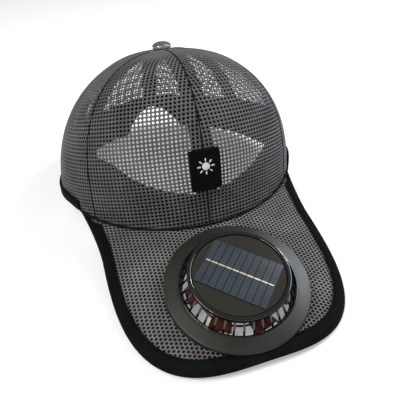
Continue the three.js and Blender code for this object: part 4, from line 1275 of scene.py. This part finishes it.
def peak_plate():
    """The lining under the peak's net, with the round hole for the duct."""
    shares, outs = np.meshgrid(*[np.linspace(0, 1, steps) for steps in PEAK_STEPS], indexing="ij")
    upper = peak_point(shares, outs, PEAK_NET_THREAD)
    lower = peak_point(shares, outs, PEAK_THICKNESS)
    plate = solid("peak_plate", [wall(upper, lower)])
    plate.transform(cap_frame)
    depth = 10 * PEAK_THICKNESS
    hole = solid("duct_hole", [turned(rectangle(0, DUCT_RADIUS + GAP, -depth, depth), RING_SIDES)])
    hole.transform(fan_frame)
    tool = linked("duct_hole", hole)
    holder = linked("holder", plate)
    cut = holder.modifiers.new("cut", "BOOLEAN")
    cut.operation = "DIFFERENCE"
    cut.solver = "EXACT"
    cut.object = tool
    mesh = evaluated_mesh(holder)
    bpy.data.objects.remove(tool)
    mesh.name = "peak_lining"
    shown(mesh, Matrix.Identity(4), UNDERLAY, nodes=["peak"])


def peak_net():
    wide, tall = PEAK_NET_PITCH
    clear = (DUCT_RADIUS + FLANGE_RADIUS) / 2
    columns = int(PEAK_HALF_WIDTH / wide) + 2
    rows = int((PEAK_LENGTH + CROWN_FRONT / 2) / tall) + 2
    column, row = np.meshgrid(np.arange(-columns, columns + 1), np.arange(rows), indexing="ij")
    x = column.ravel() * wide
    y = -(CROWN_FRONT + PEAK_LENGTH) + (row.ravel() + column.ravel() % 2 / 2) * tall
    off_fan = np.hypot(x, (y - fan_y) / peak_cosine) >= clear
    off_crown = np.hypot(x / (CROWN_HALF_WIDTH - PEAK_TUCK), y / (CROWN_FRONT - PEAK_TUCK)) >= 1
    ahead = np.abs(np.arctan2(x, -y)) <= PEAK_ROOT + PEAK_NET_PAST_ROOT
    kept = off_fan & off_crown & ahead & within_outline(x, y)
    kept &= inset_of(x, y) > PEAK_BINDING_WIDTH - PEAK_NET_TUCK
    places = np.stack([x, y], 1)[kept]

    def onto_peak(place):
        height = peak_top(place[:, 0], place[:, 1]) - PEAK_NET_THREAD / 2 + place[:, 2]
        return np.stack([place[:, 0], place[:, 1], height], 1)

    net = flat_net("peak_top_net", places, (wide, tall, PEAK_NET_THREAD), PEAK_NET, cell=PEAK_CELL)
    shown(reshaped(net, onto_peak), cap_frame, PEAK_NET, crease=180)


# Fan

def fan_surface(across):
    """Height of the peak's top in the fan's frame."""
    return -PEAK_SIDE_DROP / PEAK_HALF_WIDTH ** 2 * peak_cosine * across * across


def flange_seat(radius, angle):
    """Height of the flange's underside, which steps up over the peak's binding."""
    across = radius * math.cos(angle)
    ahead = radius * math.sin(angle)
    inset = float(inset_of(np.array([across]), np.array([fan_y + ahead * peak_cosine]))[0])
    reach = PEAK_BINDING_WIDTH + BINDING_STEP_MARGIN
    step = smooth(reach + BINDING_STEP_HALF, reach - BINDING_STEP_HALF, inset)
    return fan_surface(across) + GAP + BINDING_TOP * float(step)


def fan_flange():
    """The matt ring with its duct, and the glossy bead round its bore."""
    middle = (DUCT_RADIUS + FLANGE_RADIUS) / 2
    shoulder = FLANGE_RADIUS - EDGE_ROUND
    lip_start = BORE_RADIUS + 2 * FLANGE_LIP

    def section(angle):
        seats = [flange_seat(radius, angle) for radius in (DUCT_RADIUS, middle, FLANGE_RADIUS)]
        profile = [(BORE_RADIUS, -DUCT_DEPTH), (DUCT_RADIUS, -DUCT_DEPTH)]
        profile += [(DUCT_RADIUS, seats[0]), (middle, seats[1])]
        profile += [(FLANGE_RADIUS - FLANGE_FOOT, seats[2]), (FLANGE_RADIUS, seats[2] + FLANGE_FOOT)]
        for a in np.linspace(0, math.pi / 2, FLANGE_EDGE_STEPS):
            height = FLANGE_SHOULDER - EDGE_ROUND + EDGE_ROUND * math.sin(a)
            profile.append((shoulder + EDGE_ROUND * math.cos(a), height))
        for t in np.linspace(*FLANGE_FACE_SHARES, FLANGE_FACE_STEPS):
            height = FLANGE_SHOULDER + (FLANGE_RIM_HEIGHT - FLANGE_SHOULDER) * t
            profile.append((shoulder + (lip_start - shoulder) * t, height))
        for a in np.linspace(math.pi / 2, math.pi, FLANGE_FACE_STEPS):
            height = FLANGE_RIM_HEIGHT - FLANGE_LIP + FLANGE_LIP * math.sin(a)
            profile.append((BORE_RADIUS + FLANGE_LIP + FLANGE_LIP * math.cos(a), height))
        return profile

    shown(solid("fan_flange_ring", [turned(section)]), fan_frame, MATT, nodes=["fan_flange"])
    bead = [(BORE_RADIUS + BEAD_SUNK + BEAD_RADIUS * math.cos(a),
             FLANGE_RIM_HEIGHT - BEAD_SUNK + BEAD_RADIUS * math.sin(a)) for a in around(BEAD_SIDES)]
    shown(solid("bore_bead", [turned(bead)]), fan_frame, GLOSS, crease=60)


def rib_ring():
    """The slanted ribs from the bore up to the hub, with a ring at each end."""
    foot = BORE_RADIUS - GAP - RIB_DEPTH / 2
    head = HUB_RADIUS - RIB_DEPTH
    top = HUB_PLATE_BASE - GAP
    half = RIB_DEPTH / 2
    rings = []
    for radius, low in ((foot, RIB_RING_BASE), (head, top - RIB_RING_THICKNESS)):
        corners = rectangle(radius - half, radius + half, low, low + RIB_RING_THICKNESS)
        rings.append(turned(rounded(corners, SECTION_ROUND, SMALL_CORNER_STEPS)))
    shown(solid("rib_rings", rings), fan_frame, GLOSS, nodes=["rib_ring"])
    section = rounded(UNIT_SQUARE, SECTION_ROUND, SMALL_CORNER_STEPS)
    low = RIB_RING_BASE + RIB_RING_THICKNESS / 2
    high = top - RIB_RING_THICKNESS / 2
    rib = np.array([
        [(foot + (head - foot) * t + a * RIB_DEPTH * RIB_DEPTH_SHARE - COPY_RADIUS, b * RIB_WIDTH,
          low + (high - low) * t ** RIB_LEAN) for a, b in section]
        for t in np.linspace(0, 1, RIB_STEPS)
    ])
    ribs = ring_of("slanted_ribs", solid("rib", [loft(rib)]), RIB_COUNT, GLOSS)
    ribs.transform(Matrix.Rotation(math.pi / RIB_COUNT, 4, "Z"))
    shown(ribs, fan_frame, GLOSS)


def hub():
    body = rounded([
        (HUB_RADIUS - HUB_EDGE, HUB_PLATE_BASE), (HUB_RADIUS, HUB_PLATE_BASE + HUB_EDGE),
        (HUB_RADIUS, HUB_TOP), (BEZEL_INNER, HUB_TOP), (BEZEL_INNER, HUB_FLOOR),
    ], HUB_ROUND, BEZEL_CORNER_STEPS)
    profile = [(0, HUB_PLATE_BASE)] + body.tolist() + [(0, HUB_FLOOR)]
    shown(solid("hub_bezel", [turned(profile)]), fan_frame, GLOSS, nodes=["hub_cap"])
    radius = BEZEL_INNER - GAP
    base = HUB_FLOOR + GAP
    disc = [(0, base), (radius, base), (radius, DISC_TOP - DISC_EDGE), (radius - DISC_EDGE, DISC_TOP)]
    disc.append((0, DISC_TOP))
    shown(solid("disc_face", [turned(disc)]), fan_frame, DISC, nodes=["solar_disc"])


def busbars():
    """One short bar on each cell, with a small break at each divider and shorter ends."""
    length = CELL_PITCH - CELL_DIVIDER - BUSBAR_BREAK
    low = CELL_TOP + BUSBAR_THICKNESS / 2
    corners = rectangle(-BUSBAR_WIDTH / 2, BUSBAR_WIDTH / 2, low, low + BUSBAR_THICKNESS)
    section = rounded(corners, BUSBAR_ROUND, BUSBAR_CORNER_STEPS)
    cut = length * (1 - BUSBAR_END_SHARE)
    skins = []
    for k in range(CELL_COUNT):
        middle = (k + 0.5) * CELL_PITCH - ROW_LENGTH / 2
        start = middle - length / 2 + (cut if k == 0 else 0)
        end = middle + length / 2 - (cut if k == CELL_COUNT - 1 else 0)
        skins.append(loft(np.array([[(x, y, z) for y, z in section] for x in (start, end)])))
    mesh = solid("busbar_strips", skins, FINE_MERGE)
    mesh.transform(Matrix.Rotation(CELLS_TURN, 4, "Z"))
    shown(mesh, fan_frame, SILVER, nodes=["busbar"])


def rotor():
    rise = ROTOR_HEIGHT - 2 * BLADE_THICKNESS
    outs, overs = np.meshgrid(*[np.linspace(0, 1, steps) for steps in BLADE_STEPS], indexing="ij")
    flatter = 1 - BLADE_TWIST * outs
    root = ROTOR_HUB_RADIUS - BLADE_THICKNESS
    radius = root + (ROTOR_TIP_RADIUS - ROTOR_HUB_RADIUS + BLADE_THICKNESS) * outs
    angle = BLADE_LEAN * outs + BLADE_SPAN * flatter * overs
    height = ROTOR_BASE + BLADE_THICKNESS / 2 + rise * smooth(0, 1, overs) * flatter
    lower = np.stack([radius * np.cos(angle), radius * np.sin(angle), height], -1)
    within = BLADE_EDGE_SHARE + (1 - 2 * BLADE_EDGE_SHARE) * overs
    thin = BLADE_THICKNESS * np.sin(math.pi * within)
    upper = lower + np.stack([0 * thin, 0 * thin, thin], -1)
    blade = solid("blade", [wall(upper, lower)])
    blade.transform(Matrix.Translation((-COPY_RADIUS, 0, 0)))
    blades = ring_of("rotor_blades", blade, BLADE_COUNT, BLADES)
    shown(blades, fan_frame, BLADES, body="rotor")
    corners = rectangle(SHAFT_RADIUS + GAP, ROTOR_HUB_RADIUS, ROTOR_BASE, ROTOR_BASE + ROTOR_HEIGHT)
    mesh = solid("rotor_hub", [turned(rounded(corners, ROTOR_HUB_ROUND), ROTOR_SIDES)])
    shown(mesh, fan_frame, BLADES, body="rotor", nodes=["fan_rotor"])


def guard():
    """The clamp ring under the peak, with its plain rings and spokes."""
    bar_top = GUARD_BASE + GUARD_BAR_THICKNESS
    inner = BORE_RADIUS - GUARD_OVERHANG
    outer = GUARD_RADIUS
    clamp_top = -DUCT_DEPTH - GAP

    def clamp(angle):
        under = [fan_surface(radius * math.cos(angle)) - peak_depth - GAP for radius in (outer, DUCT_RADIUS)]
        return [
            (inner, GUARD_BASE + GUARD_EDGE), (inner + GUARD_EDGE, GUARD_BASE),
            (outer - GUARD_OUTER_EDGE, GUARD_BASE), (outer, GUARD_BASE + GUARD_OUTER_EDGE),
            (outer, under[0] - GUARD_EDGE), (outer - GUARD_EDGE, under[0]),
            (DUCT_RADIUS + 2 * GAP, under[1]), (DUCT_RADIUS + GAP, clamp_top), (inner, clamp_top),
        ]

    centre = [
        (0, GUARD_BASE), (GUARD_CENTRE_RADIUS - GUARD_EDGE, GUARD_BASE),
        (GUARD_CENTRE_RADIUS, GUARD_BASE + GUARD_EDGE), (GUARD_CENTRE_RADIUS, bar_top), (0, bar_top),
    ]
    skins = [turned(clamp), turned(centre, GUARD_CENTRE_SIDES)]
    half = GUARD_BAR_WIDTH / 2
    for k in range(1, GUARD_RINGS + 1):
        middle = GUARD_CENTRE_RADIUS + (inner - GUARD_CENTRE_RADIUS) * k / (GUARD_RINGS + 1)
        corners = rectangle(middle - half, middle + half, GUARD_BASE, bar_top)
        skins.append(turned(rounded(corners, GUARD_BAR_ROUND, SMALL_CORNER_STEPS), RING_SIDES))
    shown(solid("guard_rings", skins), fan_frame, GLOSS, nodes=["guard_grille"])
    section = rounded(rectangle(-0.5, 0.5, SPOKE_MARGIN, 1 - SPOKE_MARGIN), SPOKE_ROUND, SMALL_CORNER_STEPS)
    spoke = np.array([
        [(radius - COPY_RADIUS, a * GUARD_BAR_WIDTH, GUARD_BASE + b * GUARD_BAR_THICKNESS)
         for a, b in section]
        for radius in (GUARD_CENTRE_RADIUS - SPOKE_SUNK, inner + SPOKE_SUNK)
    ])
    spokes = ring_of("guard_spokes", solid("spoke", [loft(spoke)]), GUARD_SPOKES, GLOSS)
    shown(spokes, fan_frame, GLOSS)


def keep_node(node, material):
    """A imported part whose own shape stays, with its finish."""
    mesh = frame["nodes"][node].data
    mesh.materials.clear()
    mesh.materials.append(material)


# Camera, table and light

def camera():
    az, el = CAMERA_AZIMUTH, CAMERA_ELEVATION
    back = Vector((math.sin(az) * math.cos(el), -math.cos(az) * math.cos(el), math.sin(el)))
    right = Vector((math.cos(az), math.sin(az), 0))
    level = Matrix((right, back.cross(right), back)).transposed().to_4x4()
    stand = Matrix.Translation(Vector(CAMERA_TARGET) + back * CAMERA_DISTANCE)
    data = bpy.data.cameras.new("camera")
    data.sensor_width = SENSOR_WIDTH
    data.sensor_fit = "HORIZONTAL"
    data.lens = CAMERA_LENS
    data.clip_start = CAMERA_NEAREST
    seen = linked("camera", data)
    place = cap_frame @ stand @ level @ Matrix.Rotation(CAMERA_ROLL, 4, "Z")
    seen.matrix_world = Matrix.LocRotScale(place.to_translation(), place.to_quaternion(), (1, 1, 1))
    bpy.context.scene.camera = seen


def table():
    mesh = bpy.data.meshes.new("table")
    corners = rectangle(-TABLE_HALF, TABLE_HALF, -TABLE_HALF, TABLE_HALF)
    mesh.from_pydata([(x, y, 0) for x, y in corners], [], [(0, 1, 2, 3)])
    floor = linked("table", mesh)
    top = Finish("light_table", (0.9, 0.9, 0.9), 0.7, Specular_IOR_Level=0.1)
    top.shader.inputs["Emission Color"].default_value = (1, 1, 0.99, 1)
    top.shader.inputs["Emission Strength"].default_value = TABLE_GLOW
    mesh.materials.append(top.material)


def area_light(name, place, aim, size, power, color=NEUTRAL):
    data = bpy.data.lights.new(name, "AREA")
    data.shape = "DISK"
    data.size = size
    data.energy = power
    data.color = color
    lamp = linked(name, data)
    lamp.location = place
    lamp.rotation_euler = (Vector(place) - Vector(aim)).to_track_quat("Z", "Y").to_euler()


def light():
    bpy.context.scene.view_settings.view_transform = "Standard"
    world = bpy.data.worlds.new("studio")
    bpy.context.scene.world = world
    world.use_nodes = True
    background = world.node_tree.nodes["Background"]
    background.inputs["Color"].default_value = WORLD_COLOR
    background.inputs["Strength"].default_value = WORLD_GLOW
    area_light("key", (-0.6, -0.1, 0.9), CAP_MIDDLE, size=0.5, power=5.6, color=WARM)
    area_light("fill", (0.8, 0.1, 0.6), CAP_MIDDLE, size=0.6, power=6.2, color=COOL)
    area_light("left_glint", (-0.45, -0.35, 0.35), FAN_MIDDLE, size=0.07, power=0.7)
    area_light("right_glint", (0.35, 0.15, 0.5), FAN_MIDDLE, size=0.07, power=0.9)


camera()
table()
light()
crown_panels()
seam_tapes()
sweatband()
rim_binding()
front_seam()
peak_binding()
button()
label()
peak_plate()
peak_net()
fan_flange()
rib_ring()
hub()
busbars()
rotor()
guard()
for number in range(CELL_COUNT):
    keep_node(f"solar_cell_{number + 1:02d}", SILICON)
keep_node("motor_can", CAN)
keep_node("motor_shaft", CAN)
